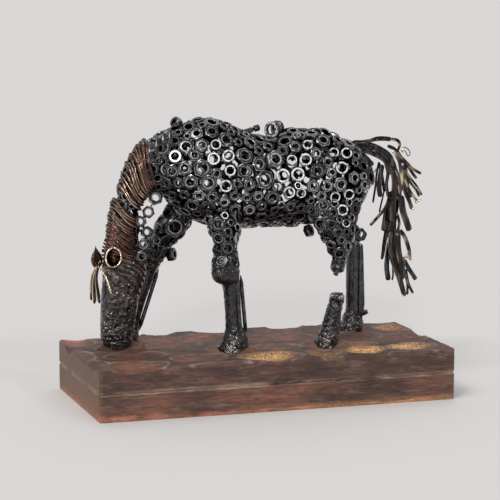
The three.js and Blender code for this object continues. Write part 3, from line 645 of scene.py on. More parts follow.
# Nuts whose places show on the near flank: x, z, packing radius and how bright, from 0 to 1, which is
# painted into the nut's shade, partly as its highlight.
flankNuts = [
    (-58, 208.1, 6.4, 0.3), (-45.5, 208.8, 5.3, 0.35), (-33.9, 209.3, 4.7, 0.7), (-24.2, 212.9, 6.4, 0.4),
    (-35.4, 219.8, 5.6, 0.3), (-48.2, 218.2, 4.9, 0.6), (-67.2, 200.1, 5.8, 0.25),
    (-51.8, 200.8, 4.9, 0.35), (-36.5, 198.4, 5.5, 0.95), (-76.8, 195.3, 4.7, 0.2),
    (-60.4, 190.3, 5.6, 0.5), (-46.2, 190.1, 7.2, 0.35), (-69.9, 188, 5.4, 0.3), (-34.9, 186.1, 4.4, 0.3),
    (-74.3, 177.2, 5.8, 0.25), (-65.1, 178, 4.4, 0.2), (-55.8, 178.5, 6.1, 0.4), (-41.5, 178.1, 6.7, 0.35),
    (-68, 166.8, 4.4, 0.2), (-59.8, 168.3, 4.4, 0.25), (-48.2, 166.8, 4.9, 0.6), (-37.9, 166.2, 4.9, 0.3),
    (-27.7, 161.2, 4.4, 0.6), (-52.3, 158.5, 6.1, 0.3), (-29.3, 151.6, 5.3, 0.4), (-62, 219.2, 3.5, 0.3),
    (-42.2, 224.8, 4.1, 0.2), (-23.8, 199.6, 5.4, 1), (-23.4, 187.6, 4.8, 1), (-27.1, 174.3, 5.4, 0.85),
    (-14, 210.8, 3.9, 0.3), (-2, 210.1, 6, 0.4), (-17.6, 218.4, 3.8, 0.3), (-10.2, 200.3, 6.7, 0.25),
    (3.2, 202.8, 4.1, 0.3), (13.1, 206.4, 4.4, 0.35), (-11.1, 188, 6.4, 0.3), (2.2, 192.4, 6, 0.35),
    (17.1, 196.3, 6.9, 0.5), (30.6, 195.7, 4.6, 0.65), (24.3, 202.9, 4.4, 0.3), (35.4, 205.8, 4.8, 0.35),
    (22.3, 182.5, 6.2, 1), (6.3, 179.2, 7.5, 0.4), (-17.6, 177.6, 4.4, 0.3), (-7.3, 175.6, 4.6, 0.35),
    (-19.4, 166.2, 4.3, 0.3), (-9.4, 164.6, 3.8, 0.35), (0.3, 166.2, 4.3, 0.5), (13, 164.5, 6.2, 0.25),
    (27.4, 167.8, 5.2, 0.7), (4.3, 156.8, 4.4, 0.1), (-18, 155.2, 4.8, 0.5), (-5.6, 153.8, 4.8, 0.5),
    (15.7, 153.3, 4.1, 0.15), (28.8, 154.9, 4.8, 0.2), (5.8, 146.8, 5.4, 0.2), (-5.4, 144.5, 3.8, 0.2),
    (21.9, 145.3, 3.9, 0.15), (30.1, 147.6, 3.8, 0.2), (39, 214.1, 4.4, 0.3), (42.7, 214.5, 4.8, 0.2),
    (46.4, 207, 4.6, 0.65), (61.4, 210.5, 6, 0.45), (76.5, 209.8, 5.1, 0.3), (69.1, 200.3, 4.4, 0.75),
    (81.4, 198.9, 5, 0.95), (52.5, 199.4, 4.8, 0.3), (42.7, 194.9, 5.4, 0.9), (61.9, 193.1, 4.8, 0.4),
    (75.2, 186.8, 5.6, 0.8), (35.6, 183.2, 6, 1), (52.2, 185.9, 6, 0.2), (64.9, 183.8, 4.3, 0.55),
    (87.9, 191, 3.5, 0.3), (86.2, 177.8, 5.1, 0.55), (95.3, 179.2, 3.8, 0.5), (90.7, 167.7, 3.5, 0.4),
    (48.5, 172.9, 5.1, 0.45), (61, 173, 4.8, 0.55), (73.3, 173.8, 6, 0.55), (38.1, 167.5, 4.4, 0.65),
    (56.2, 163.6, 4.4, 0.55), (69.3, 162.4, 4.8, 0.65), (81.4, 163.7, 4.8, 0.65), (89.3, 157.8, 3.2, 0.5),
    (47.2, 160.4, 3.8, 0.3), (39.3, 154.3, 4.1, 0.15), (63.4, 152.9, 5.1, 0.35),
]
thighNuts = [
    (74.8, 152, 5.1, 0.8), (48.9, 151.3, 4.8, 0.1), (78.4, 141, 3.9, 0.7), (64, 141, 4.4, 0.15),
    (69.5, 133.8, 4.4, 0.2), (72.6, 127, 4.1, 0.2),
]


# Nuts over a surface. Each listed nut sits on the near side's sample point that is nearest to it in x and
# z, its brightness painted into its shade as listed, partly as highlight, and the free surface is packed
# with others.
def coverWithNuts(points, normals, listed, radii, shares, seed):
    near = np.flatnonzero(normals[:, 1] < 0)
    given = [(near[np.hypot(points[near, 0] - x, points[near, 2] - z).argmin()], radius)
             for x, z, radius, _ in listed]
    found = packNuts(points, radii, shares, seed, given)
    nuts = settleNuts(points, normals, given, seed + 1, 0.5)
    dullest, contrast = nutLook["listed"]
    for nut, (_, _, _, bright) in zip(nuts, listed):
        shiny = bright > nutLook["ringFrom"]
        nut["kind"] = "ring" if shiny else "hex"
        nut["shade"] = dullest + bright**contrast
        lean = nutLook["lean"] * bright if shiny else 0
        nut["axis"] = unit(nut["axis"] * (1 - lean) + np.array(nutLook["shine"]) * lean)
    return nuts + settleNuts(points, normals, found, seed)


def buildBody(material):
    points, normals = samples(bodySurface, *bodyForm["samples"])
    packing = (bodyForm["nutRadii"], bodyForm["nutShares"], bodyForm["seed"])
    nuts = coverWithNuts(points, normals, flankNuts, *packing)
    addNuts("bodyNuts", nuts + [dict(zip(nutFields, bodyForm["rumpEnd"]))], material)


# Sections as height, front x, back x, sideways place and half width.
limbs = {
    "nearForeleg": [(152, -43, -13, -1, 7), (139, -41, -14, -3, 10), (130, -37.5, -15.5, -4, 10),
                    (118, -37, -15.5, -5, 9), (108, -38.5, -15, -5, 10), (99, -36, -14.5, -5, 9.5),
                    (93, -30, -15, -5, 7.5), (80, -28.2, -14.8, -5, 6.5), (62, -27.2, -13.4, -5, 6.5),
                    (54, -27.5, -9, -5, 8), (44, -31, -7, -5, 10), (35, -34, -9, -5, 11)],
    "farHindLeg": [(168, 74, 103, 38, 9), (150, 78, 103, 42, 10), (141, 83, 100.5, 43, 10),
                   (135, 87, 103.5, 44, 10), (128, 92, 110, 45, 9.5), (121, 95, 110.5, 46, 9),
                   (112, 97.2, 110.5, 46, 7.5), (62, 97.5, 110.5, 46, 6.5), (54, 95.5, 113, 46, 8.5),
                   (44, 92.5, 113.5, 46, 10), (35, 90, 111, 46, 10.5)],
    "brokenThigh": [(158, 44, 96, 4, 10), (146, 47.5, 92, 1, 10), (134, 54.5, 88, -1, 10),
                    (123, 61.5, 85, -2, 9), (114, 67, 81, -3, 7.5), (107, 68.5, 78, -3, 5.5),
                    (99.5, 67.5, 74, -3, 4)],
    "farForeleg": [(156, -62, -33, 40, 9), (142, -71, -40, 45, 11), (129, -78, -47, 48, 10),
                   (118, -82, -57.5, 51, 8.5), (108, -84, -63, 53, 7.5), (99, -85, -68.5, 54, 6.5),
                   (84, -89, -74.5, 54.5, 6), (68, -93, -80, 55, 5.5), (56, -98, -83, 56, 6.5),
                   (46, -103, -84, 56, 8), (35, -106.5, -86.5, 56, 8.5)],
    "stump": [(82.5, 64, 75, -8, 5.5), (74, 62, 75.5, -8, 6.5), (66, 59.5, 74, -8, 7),
              (55, 56, 73, -8, 8.5), (45, 52.5, 71, -8, 10), (35, 49.5, 68.5, -8, 10.5)],
}
# Bead height in millimetres by height on the leg: rough above the knee, smooth on the tube, pitted hoof.
limbRelief = {
    "nearForeleg": [(160, 1.6), (118, 1.5), (104, 0.9), (94, 0.35), (60, 0.3), (52, 0.9), (35, 0.9)],
    "farHindLeg": [(168, 1.5), (125, 1.3), (112, 0.4), (60, 0.3), (53, 0.9), (37, 0.9)],
    "brokenThigh": [(158, 1.5), (100, 1.3)],
    "farForeleg": [(156, 1.6), (112, 1.5), (98, 0.3), (60, 0.3), (53, 0.9), (37, 0.9)],
    "stump": [(82.5, 0.8), (37, 0.9)],
}
limbLook = {
    "rows": 180,
    "columns": 80,
    "beadPitch": 4.2,
    "beadBase": 0.35,  # a bead this high leaves the skin where it is
    "grainPitch": 1.7,
    "grainHeight": 0.5,
    "inset": 0.6,
    "nutRoom": 3.4,  # how far the skin is drawn in under the nuts, over this much height
    "nutFade": 7,
    "hoofTop": 56,
    "hoofFade": 8,
    # skin shade: least and more on the hooves as painted light, then least and more on the grain's tops;
    # rim: painted glints
    "worn": (0.42, 0.7),
    "grained": (0.25, 0.75),
    "rim": (0.5, 0.5),
    "rimFrom": 2.6,
}
# Above this height a limb is clad in nuts, and its skin is drawn in under them.
nutsAbove = {"nearForeleg": 113, "farHindLeg": 118, "brokenThigh": 103, "farForeleg": 110, "stump": 200}
kneeKnob = {"middle": (-34.5, -8, 100), "radius": 8, "height": 2.2}  # smooth, on the near foreleg


# Level section: ellipse with its front and back on the station's x, over place along and turns.
def limbSurface(stations, place, turns):
    z, front, back, y, half = np.moveaxis(smoothCurve(stations, place), -1, 0)
    angle = turns * turn
    x = (front + back) / 2 + (back - front) / 2 * np.cos(angle)
    return np.stack([x, y + half * np.sin(angle), z], -1)


# Puts a surface out along its normals and up off the carved wood. Its shade is (least + more * glow) *
# (least + more * grain): paler where glow marks, darker between the grain's tops, and its rim paints glints
# on the tops of the grain.
def skinShape(grid, normals, rise, look, seed, glow):
    grid = grid + normals * rise[..., None]
    grid[..., 2] = onCarving(grid)
    grain, lit = beads(grid, look["grainPitch"], seed), glow(grid)
    (worn, moreWorn), (dull, lessDull), (rim, moreRim) = look["worn"], look["grained"], look["rim"]
    marks = {
        "shade": ((worn + moreWorn * lit) * (dull + lessDull * grain)).reshape(-1),
        "rim": (np.clip(grain * 4 - look["rimFrom"], 0, 1) * (rim + moreRim * lit)).reshape(-1),
    }
    return grid.reshape(-1, 3), tubeFaces(*grid.shape[:2]), marks


# 1 low on the hooves, fading to 0 above them: there the skin gets painted light, paler and with more painted
# glints.
def onHoof(grid):
    return np.clip((limbLook["hoofTop"] - grid[..., 2]) / limbLook["hoofFade"], 0, 1)


# A limb's skin: the section surface drawn in by the inset, raised by weld beads and finer grain.
def limbShape(name, seed):
    grid = limbSurface(limbs[name], *gridPlaces(limbLook["rows"], limbLook["columns"]))
    normals = gridNormals(grid)
    heights, sizes = np.array(limbRelief[name]).T
    size = np.interp(grid[..., 2], heights[::-1], sizes[::-1])
    raised = size * (beads(grid, limbLook["beadPitch"], seed) - limbLook["beadBase"])
    grain = beads(grid, limbLook["grainPitch"], seed + 9)
    raised = raised + np.minimum(size, 1) * limbLook["grainHeight"] * grain
    under = limbLook["nutRoom"] * np.clip((grid[..., 2] - nutsAbove[name]) / limbLook["nutFade"], 0, 1)
    if name == "nearForeleg":
        away = np.linalg.norm(grid - kneeKnob["middle"], axis=-1) / kneeKnob["radius"]
        ball = np.sqrt(np.clip(1 - away**2, 0, 1))
        raised = raised * (1 - ball) + kneeKnob["height"] * ball
    return skinShape(grid, normals, raised - limbLook["inset"] - under, limbLook, seed + 4, onHoof)


# A circle of points: radius * cosine, radius * sine.
def roundProfile(radius, sides=8):
    angles = np.arange(sides) / sides * turn
    return np.stack([np.cos(angles), np.sin(angles)], -1) * radius


# A flat bar's section with rounded corners: a superellipse.
def flatProfile(width, thickness, sides=12):
    square = roundProfile(1, sides)
    return np.sign(square) * np.abs(square) ** 0.55 * (width / 2, thickness / 2)


# A profile carried along paths: point = path + profile x * side + profile y * (path direction x side),
# drawn in at both ends by the root of 1 - (2 t - 1)^power.
def carried(paths, side, profile, marks, power=26, lean=None):
    count, steps, _ = paths.shape
    ahead = unit(np.gradient(paths, axis=1))
    side = np.broadcast_to(np.asarray(side, float), paths.shape)
    side = unit(side - ahead * (side * ahead).sum(-1, keepdims=True))
    over = np.cross(ahead, side)
    if lean is not None:
        cosine, sine = np.cos(lean)[..., None], np.sin(lean)[..., None]
        side, over = side * cosine + over * sine, over * cosine - side * sine
    place = np.linspace(0, 1, steps)
    taper = np.sqrt(np.clip(1 - np.abs(2 * place - 1) ** power, 0.05, 1))[None, :, None, None]
    spread = profile[None, None, :, :1] * side[:, :, None] + profile[None, None, :, 1:] * over[:, :, None]
    points = paths[:, :, None] + spread * taper
    values = {label: np.broadcast_to(v, points.shape[:3]).reshape(-1) for label, v in marks.items()}
    return points.reshape(-1, 3), tubeFaces(steps, len(profile), count), values


# Start, end and radius of each rod, and for the bolt's head its shade and sides.
rods = [
    ((-13.6, -5, 101), (-9, -5, 50), 1.7), ((112, 46, 114), (114, 46, 55), 1.5),
    ((114.2, 46, 56.5), (115.6, 46, 53), 3.4), ((-67.3, 54, 100.5), (-84.8, 56, 47), 1.7),
    ((-10, 19, 214.6), (5.5, 18, 219.2), 2.3), ((4.6, 18, 219), (10.6, 18, 220.6), 2.7, 1, 4),
    ((71.5, -4, 101), (69.2, -4.5, 96.6), 2.2),
]


# A round rod between two points: a circle carried along the straight line.
def rodShape(start, end, radius, shade=0.4, sides=12):
    start, end = np.asarray(start, float), np.asarray(end, float)
    path = start + (end - start) * np.linspace(0, 1, 9)[:, None]
    return carried(path[None], (0, 1, 0), roundProfile(radius, sides), {"shade": shade, "rim": 0.1})


# Flat straps welded along the lower legs and over the withers: the points each runs through and its width.
strapLook = {"thickness": 1.8, "side": (1, -0.2, 0), "shade": 0.35, "rim": 0.5, "steps": 24}
straps = [
    ([(-18.5, -9.5, 107), (-17.4, -10.4, 92), (-16.4, -10.4, 70), (-14.6, -10.6, 49)], 3),
    ([(104, 39.5, 116), (104.4, 39.4, 100), (104, 39.4, 80), (103.6, 38.8, 52)], 3.4),
    ([(109.5, 41.2, 116), (110, 41, 100), (109.6, 41, 80), (109.2, 40.5, 50)], 3.6),
    ([(-69.5, 8.5, 221), (-69.8, 6.5, 214), (-69.2, 5.6, 207)], 4),
    ([(-74.5, 9.5, 218.5), (-75, 7.6, 211), (-74.4, 7, 203)], 4),
    ([(-79.5, 11, 215), (-80.5, 9, 207), (-81, 8.4, 199)], 4),
    ([(-84.5, 12.5, 211.5), (-86, 10.2, 203), (-86.4, 9.6, 196)], 3.8),
]


# A flat bar carried along the smooth curve, its edges painted bright by distance from the middle ^ 4,
# partly wear and partly painted highlight.
def strapShape(points, width):
    path = smoothCurve(points, np.linspace(0, 1, strapLook["steps"]))
    profile = flatProfile(width, strapLook["thickness"])
    edges = np.abs(profile[:, 0]) / (width / 2)
    marks = {"shade": strapLook["shade"], "rim": (edges**4 * strapLook["rim"])[None, None]}
    return carried(path[None], strapLook["side"], profile, marks)


# Nuts packed on a limb's skin above a height: their radii, the shares of those and a seed.
limbPacking = {
    "brokenThigh": ([5.6, 4.8, 4.0, 3.2], [0.3, 0.4, 0.2, 0.1], 41),
    "nearForeleg": ([5.8, 4.6, 3.6, 2.6], [0.2, 0.3, 0.3, 0.2], 42),
    "farForeleg": ([6.8, 5.2, 4.0, 3.0], [0.3, 0.3, 0.3, 0.1], 43),
    "farHindLeg": ([6.0, 4.8, 3.8, 3.0], [0.3, 0.3, 0.3, 0.1], 44),
}
limbSeed = 20
stumpNut = ((69.6, -8, 78), (0.12, 0, 1), 5.6, 7, "hex", 0.4)
stumpSeeds = (31, 32)  # of its skin and its nut


def buildLegs(material, nutMaterial):
    shapes = [limbShape(name, limbSeed + k) for k, name in enumerate(limbs) if name != "stump"]
    addPiece("legs", shapes, material, "black_steel", "horse")
    skinSeed, nutSeed = stumpSeeds
    nuts = [dict(zip(nutFields, stumpNut))]
    shapes = [limbShape("stump", skinSeed), nutShapes(nuts, np.random.default_rng(nutSeed))]
    addPiece("hoofStump", shapes, material, "black_steel", "hind_hoof_stump")
    nuts = []
    for name, packing in limbPacking.items():
        points, normals = samples(lambda place, turns: limbSurface(limbs[name], place, turns), 150, 80)
        high = points[:, 2] > nutsAbove[name]
        listed = thighNuts if name == "brokenThigh" else []
        nuts += coverWithNuts(points[high], normals[high], listed, *packing)
    bars = [rodShape(*rod) for rod in rods] + [strapShape(*strap) for strap in straps]
    addNuts("limbNuts", nuts, nutMaterial, bars)


neckForm = {
    "crest": [(-68, 212), (-86.5, 210), (-98.5, 196), (-106, 177), (-112, 161), (-115, 145), (-116, 131),
              (-115, 118)],
    "throat": [(-60, 168), (-71, 169), (-79, 168), (-86, 164), (-91.5, 155), (-92, 140), (-92.5, 124),
               (-94, 114)],
    "half": [18, 16, 13.5, 12, 11, 10.5, 10, 9],
    "y": [22, 22, 22, 23, 24, 25, 26, 27],
    "nutRadii": [5.6, 4.6, 3.6],
    "nutShares": [0.4, 0.4, 0.2],
    "seed": 51,
    "samples": (120, 70, 0.08, 0.93),
    "seeThrough": ((-96, 155), 5.5),  # a gap between the nuts: its x and z and its size
    "dimmed": 0.6,
}


# Neck surface: as the body's, between crest and throat, with its own sideways place. Rise stands off it.
def neckSurface(place, turns, rise=0.0):
    crest = smoothCurve(neckForm["crest"], place)
    throat = smoothCurve(neckForm["throat"], place)
    half, y = np.moveaxis(smoothCurve(np.stack([neckForm["half"], neckForm["y"]], -1), place), -1, 0)
    up = (crest - throat) / 2
    height = np.linalg.norm(up, axis=-1)
    angle = turns * turn
    middle = (crest + throat) / 2 + up * (np.cos(angle) * (height + rise) / height)[..., None]
    return np.stack([middle[..., 0], y + (half + rise) * np.sin(angle), middle[..., 1]], -1)


# Nuts that stand on their own in the photograph's view, with the fields of nutFields.
loneNuts = [
    ((-80.5, 14, 165.3), (-0.1, -1, 0.3), 5.4, 6, "hex", 0.16),
    ((-86.6, 14, 153.8), (-0.3, -1, 0.1), 4.7, 6, "hex", 0.16),
    ((-93.3, 14, 146.4), (-0.5, -1, 0.1), 4.3, 6, "hex", 0.16),
    ((-88.2, 14, 137.3), (0, -1, 0.2), 4.4, 6, "hex", 0.16),
    ((-90.5, 14, 127.4), (-0.4, -1, -0.1), 4.5, 6, "hex", 0.16),
    ((-92.5, 14, 117.6), (-0.2, -1, 0), 4.4, 5, "hex", 0.16),
    ((21.6, 19, 218), (-0.74, -0.66, 0.05), 6.8, 4, "ring", 0.35),
    ((27.8, 24.5, 218.6), (-0.86, -0.5, 0.05), 6.5, 3, "ring", 0.16),
    ((71.8, -4, 104.4), (-0.35, -0.4, -0.85), 5.2, 8, "hex", 0.16),
    ((-61, 20, 225.6), (-0.8, -0.35, 0.5), 4.4, 6, "hex", 0.16),
    ((50.4, 8, 133.6), (0.62, -0.7, 0.36), 4.7, 5, "hex", 0.16),
    ((-59, 43, 113.8), (0.75, -0.6, 0.1), 5, 6, "hex", 0.16),
    ((-58.8, 33.5, 138), (-0.2, -1, 0.1), 7.9, 7, "hex", 0.16),
    ((106.8, 36.5, 124.5), (-0.2, -1, 0), 5.2, 6, "hex", 0),
]

headForm = {
    "sections": [(131, -119, -99, 26, 6), (124, -121, -90, 26.5, 9.5), (116, -121.5, -86, 27, 11.5),
                 (102, -122.2, -86, 28, 12), (84, -123.3, -90, 30, 10.5), (64, -123.8, -93, 32, 9.2),
                 (51, -123.4, -95.5, 33, 9.6), (43, -121.8, -96.8, 33.5, 9.2), (36, -118, -99, 34, 7.6)],
    "rows": 190,
    "columns": 120,
    "squareness": 0.86,
    "beadPitch": 3.4,
    "beadHeight": 0.6,
    "grainPitch": 1.6,
    "grainHeight": 0.5,
    "beadBase": 0.5,
    "grainBase": 0.3,
    "seeds": (61, 62),  # of the beads and of the grain
    "inset": 0.5,
    "mouth": (-122, 44.5, 0.12, 0.7, -104),  # its x and z, slope, width and the x where it ends
    "mouthDepth": 0.7,
    "cheek": (-101, 17, 92),
    "cheekReach": (13, 12, 16),
    # skin shade: least and more towards the cheek, then least and more on the grain's tops; rim: painted
    # glints
    "worn": (0.85, 0.9),
    "grained": (0.35, 0.65),
    "rim": (0.65, 0.35),
    "rimFrom": 2.35,
}
# Raised and sunk places on the head: middle, radius and height, mirrored to the other side of its axis.
headMarks = [
    ((-113, 16.6, 98.5), 5.2, 2.2), ((-113, 15.4, 98.2), 2.2, -1.3), ((-95, 17, 103), 13, 1.6),
    ((-117.5, 25.5, 51), 3.4, 1.2), ((-116.8, 25.2, 49.5), 1.9, -1.8), ((-122, 22, 108), 4.5, 1),
]


# Head surface: level sections whose ellipse is squared a little. Rise stands off it.
def headSurface(place, turns, rise=0.0):
    z, front, back, y, half = np.moveaxis(smoothCurve(headForm["sections"], place), -1, 0)
    cosine, sine = np.cos(turns * turn), np.sin(turns * turn)
    power = headForm["squareness"]
    x = (front + back) / 2 + ((back - front) / 2 + rise) * np.sign(cosine) * np.abs(cosine) ** power
    return np.stack([x, y + (half + rise) * np.sign(sine) * np.abs(sine) ** power, z], -1)


# How near a point is to the cheek, as e to the minus squared distance.
def onCheek(grid):
    return np.exp(-(((grid - headForm["cheek"]) / headForm["cheekReach"]) ** 2).sum(-1))


# The head's skin: its surface swollen at the marks, pitted all over and cut by the line of the mouth.
def headShape():
    grid = headSurface(*gridPlaces(headForm["rows"], headForm["columns"]))
    x, z = grid[..., 0], grid[..., 2]
    beadSeed, grainSeed = headForm["seeds"]
    coarse = beads(grid, headForm["beadPitch"], beadSeed)
    fine = beads(grid, headForm["grainPitch"], grainSeed)
    raised = headForm["beadHeight"] * (coarse - headForm["beadBase"])
    raised += headForm["grainHeight"] * (fine - headForm["grainBase"])
    axisZ, axisY = np.array(headForm["sections"], float)[::-1, [0, 3]].T
    for middle, radius, height in headMarks:
        for side in (1, -1):
            y = np.interp(middle[2], axisZ, axisY)
            mirrored = (middle[0], y + side * (middle[1] - y), middle[2])
            away = np.linalg.norm(grid - mirrored, axis=-1) / radius
            raised += height * np.exp(-(away**2) * 1.6)
    atX, atZ, slope, width, end = headForm["mouth"]
    mouth = np.exp(-(((z - atZ - slope * (x - atX)) / width) ** 2)) * (x < end)
    rise = raised - headForm["inset"] - headForm["mouthDepth"] * mouth
    return skinShape(grid, gridNormals(grid), rise, headForm, grainSeed, onCheek)


# Wires that end the mane: from the brow round each cheek, dropping towards the jaw.
browWires = {"perSide": 9, "places": (0.0, 0.30), "drop": 0.21, "rise": 0.9, "radius": 0.8, "seed": 66,
             "from": (-104, 27, 110.0), "gildAndHighlight": [0.0, 0.12, 1.0, 0.12, 0.0, 0.0, 0.0, 0.0]}


def browShape():
    rng = np.random.default_rng(browWires["seed"])
    run = np.linspace(0, 1, 24)
    count = browWires["perSide"]
    starts = np.repeat(np.linspace(*browWires["places"], count), 2) + rng.normal(0, 0.006, 2 * count)
    side = np.tile([1.0, -1.0], count)
    reach = rng.uniform(0.86, 1.0, 2 * count)
    place = starts[:, None] + browWires["drop"] * run**1.3 + 0.006 * np.sin(run * 8 + starts[:, None] * 90)
    turns = 0.5 + side[:, None] * (0.04 + 0.40 * reach[:, None] * run)
    paths = headSurface(np.clip(place, 0, 1), turns, browWires["rise"])
    # gold on one line of each wire: partly rubbed gold, partly painted highlight
    goldAndHighlight = rng.uniform(0.3, 1.0, (2 * count, 1, 1))
    out = unit(paths - np.array(browWires["from"]))
    return carried(paths, out, roundProfile(browWires["radius"]), {"gildAndHighlight": goldAndHighlight * browWires["gildAndHighlight"]})


# The cup's rows are how far in the wall they lie, how high and how golden they are.
cupForm = {
    "middle": (-117, 11.2, 118),
    "axis": (-0.3, -1, 0.25),
    "radii": (6.9, 8.6),
    "wall": 1.5,
    "columns": 40,
    "rows": [(0, -5.5, 0), (0, -1.2, 0.3), (0, -0.3, 0.9), (-0.35, 0, 1), (-0.75, -0.05, 0.9),
             (-1, -0.5, 0.35), (-1, -2.5, 0), (-1.2, -5.5, 0)],
}
leafForm = {
    "base": (-124.9, 34, 107),
    "tip": (-126.4, 34, 125.2),
    "width": 11,
    "thickness": 0.32,
    "gildAndHighlight": 0.18,
}


# The near ear is a cut of tube, an oval wall carried round its ragged rim: outer skin down, inner skin back.
def cupShape():
    axis = unit(np.array(cupForm["axis"], float))
    aside = unit(np.cross((0.12, 0, 1.0), axis))
    up = np.cross(axis, aside)
    angles = np.arange(cupForm["columns"]) / cupForm["columns"] * turn
    wide, tall = cupForm["radii"]
    ragged = 0.35 * np.sin(angles * 5 + 1) + 0.25 * np.sin(angles * 9)
    points = []
    for inward, height, _ in cupForm["rows"]:
        reach = inward * cupForm["wall"]
        ring = aside * (np.cos(angles) * (wide + reach))[:, None]
        ring = ring + up * (np.sin(angles) * (tall + reach))[:, None]
        rise = height + ragged * (height > -3)
        points.append(np.array(cupForm["middle"]) + ring + axis * rise[:, None])
    walls, ends = tubeFaces(len(points), len(angles))
    gildAndHighlight = np.repeat([golden for _, _, golden in cupForm["rows"]], len(angles))
    return np.concatenate(points), [walls, ends[::-1, ::-1]], {"gildAndHighlight": gildAndHighlight}


# The far ear is a leaf: a flat bar along a line, drawn in across it to a point at either end.
def leafShape():
    place = np.linspace(0, 1, 26)
    path = np.array(leafForm["base"]) + (np.array(leafForm["tip"]) - leafForm["base"]) * place[:, None]
    oval = np.sin(np.pi * (0.16 + 0.84 * place)) ** 0.8 * (1 - place**3)
    width = leafForm["width"] * np.clip(oval, 0.06, 1)
    profile = flatProfile(1.0, leafForm["thickness"], 14)
    points, faces, marks = carried(path[None], (1, 0.25, 0), profile, {"gildAndHighlight": leafForm["gildAndHighlight"]}, power=200)
    middle = path[:, None]
    grid = middle + (points.reshape(len(place), -1, 3) - middle) * width[:, None, None]
    return grid.reshape(-1, 3), faces, marks


def buildHead(roughMaterial, nutMaterial, gildMaterial):
    addPiece("head", [headShape()], roughMaterial, "black_steel", "horse")
    addPiece("ears", [cupShape(), leafShape(), browShape()], gildMaterial, "gilded_wire", "horse")
    points, normals = samples(neckSurface, *neckForm["samples"])
    gap, size = neckForm["seeThrough"]
    covered = np.linalg.norm(points[:, [0, 2]] - gap, axis=1) >= size
    points, normals = points[covered], normals[covered]
    found = packNuts(points, neckForm["nutRadii"], neckForm["nutShares"], neckForm["seed"])
    nuts = settleNuts(points, normals, found, neckForm["seed"])
    for nut in nuts:
        nut["shade"] *= neckForm["dimmed"]
    addNuts("neckNuts", nuts + [dict(zip(nutFields, nut)) for nut in loneNuts], nutMaterial)


maneForm = {
    "wire": 1.4,
    "steps": 26,
    "lift": 2.4,
    "locks": [{"places": (0.15, 0.45), "wires": 12, "turnsTo": 0.4, "trail": 0.115},
              {"places": (0.55, 0.89), "wires": 15, "turnsTo": 0.38, "trail": 0.11}],
    "seed": 71,
    "sides": 12,
    "from": (-100, 22, 165),  # the wires' gold line, partly painted highlight, faces away from here
    "outward": (1, 1.4, 0.4),
}


# Wires of one side: from the crest over the flank, each trailing down the neck as the square of its run,
# then curling under at the end. Place and turns are where the wire runs on the neck's surface.
def maneWires(side, rng):
    run = np.linspace(0, 1, maneForm["steps"])
    paths = []
    for lock in maneForm["locks"]:
        for k in range(lock["wires"]):
            start = np.interp(k, (0, lock["wires"] - 1), lock["places"]) + rng.normal(0, 0.003)
            reach = lock["turnsTo"] * rng.uniform(0.88, 1.08)
            trail = lock["trail"] * (run - 0.16 * np.sin(run * turn))
            place = start + trail + 0.004 * np.sin(run * 9 + rng.uniform(0, 6))
            turns = side * (reach * run - 0.015)
            lift = maneForm["lift"] * (1 - 0.55 * run**2) + 0.5 * np.sin(run * 5 + rng.uniform(0, 6))
            paths.append(neckSurface(np.clip(place, 0, 1), turns, lift))
    return np.array(paths)


# Round wires with gold, partly painted highlight, along the one line of their profile that faces away from
# the neck.
def buildMane(material):
    rng = np.random.default_rng(maneForm["seed"])
    run = np.linspace(0, 1, maneForm["steps"])[None, :, None]
    profile = roundProfile(maneForm["wire"], maneForm["sides"])
    around = (np.arange(maneForm["sides"]) == 0) * 1.0
    shapes = []
    for side in (-1, 1):
        paths = maneWires(side, rng)
        goldAndHighlight = np.clip(rng.uniform(0.7, 1.3, (len(paths), 1, 1)) * (0.75 + 0.25 * run), 0, 1)
        out = unit((paths - np.array(maneForm["from"])) * maneForm["outward"])
        shapes.append(carried(paths, out, profile, {"gildAndHighlight": goldAndHighlight * around}))
    addPiece("mane", shapes, material, "gilded_wire", "mane")


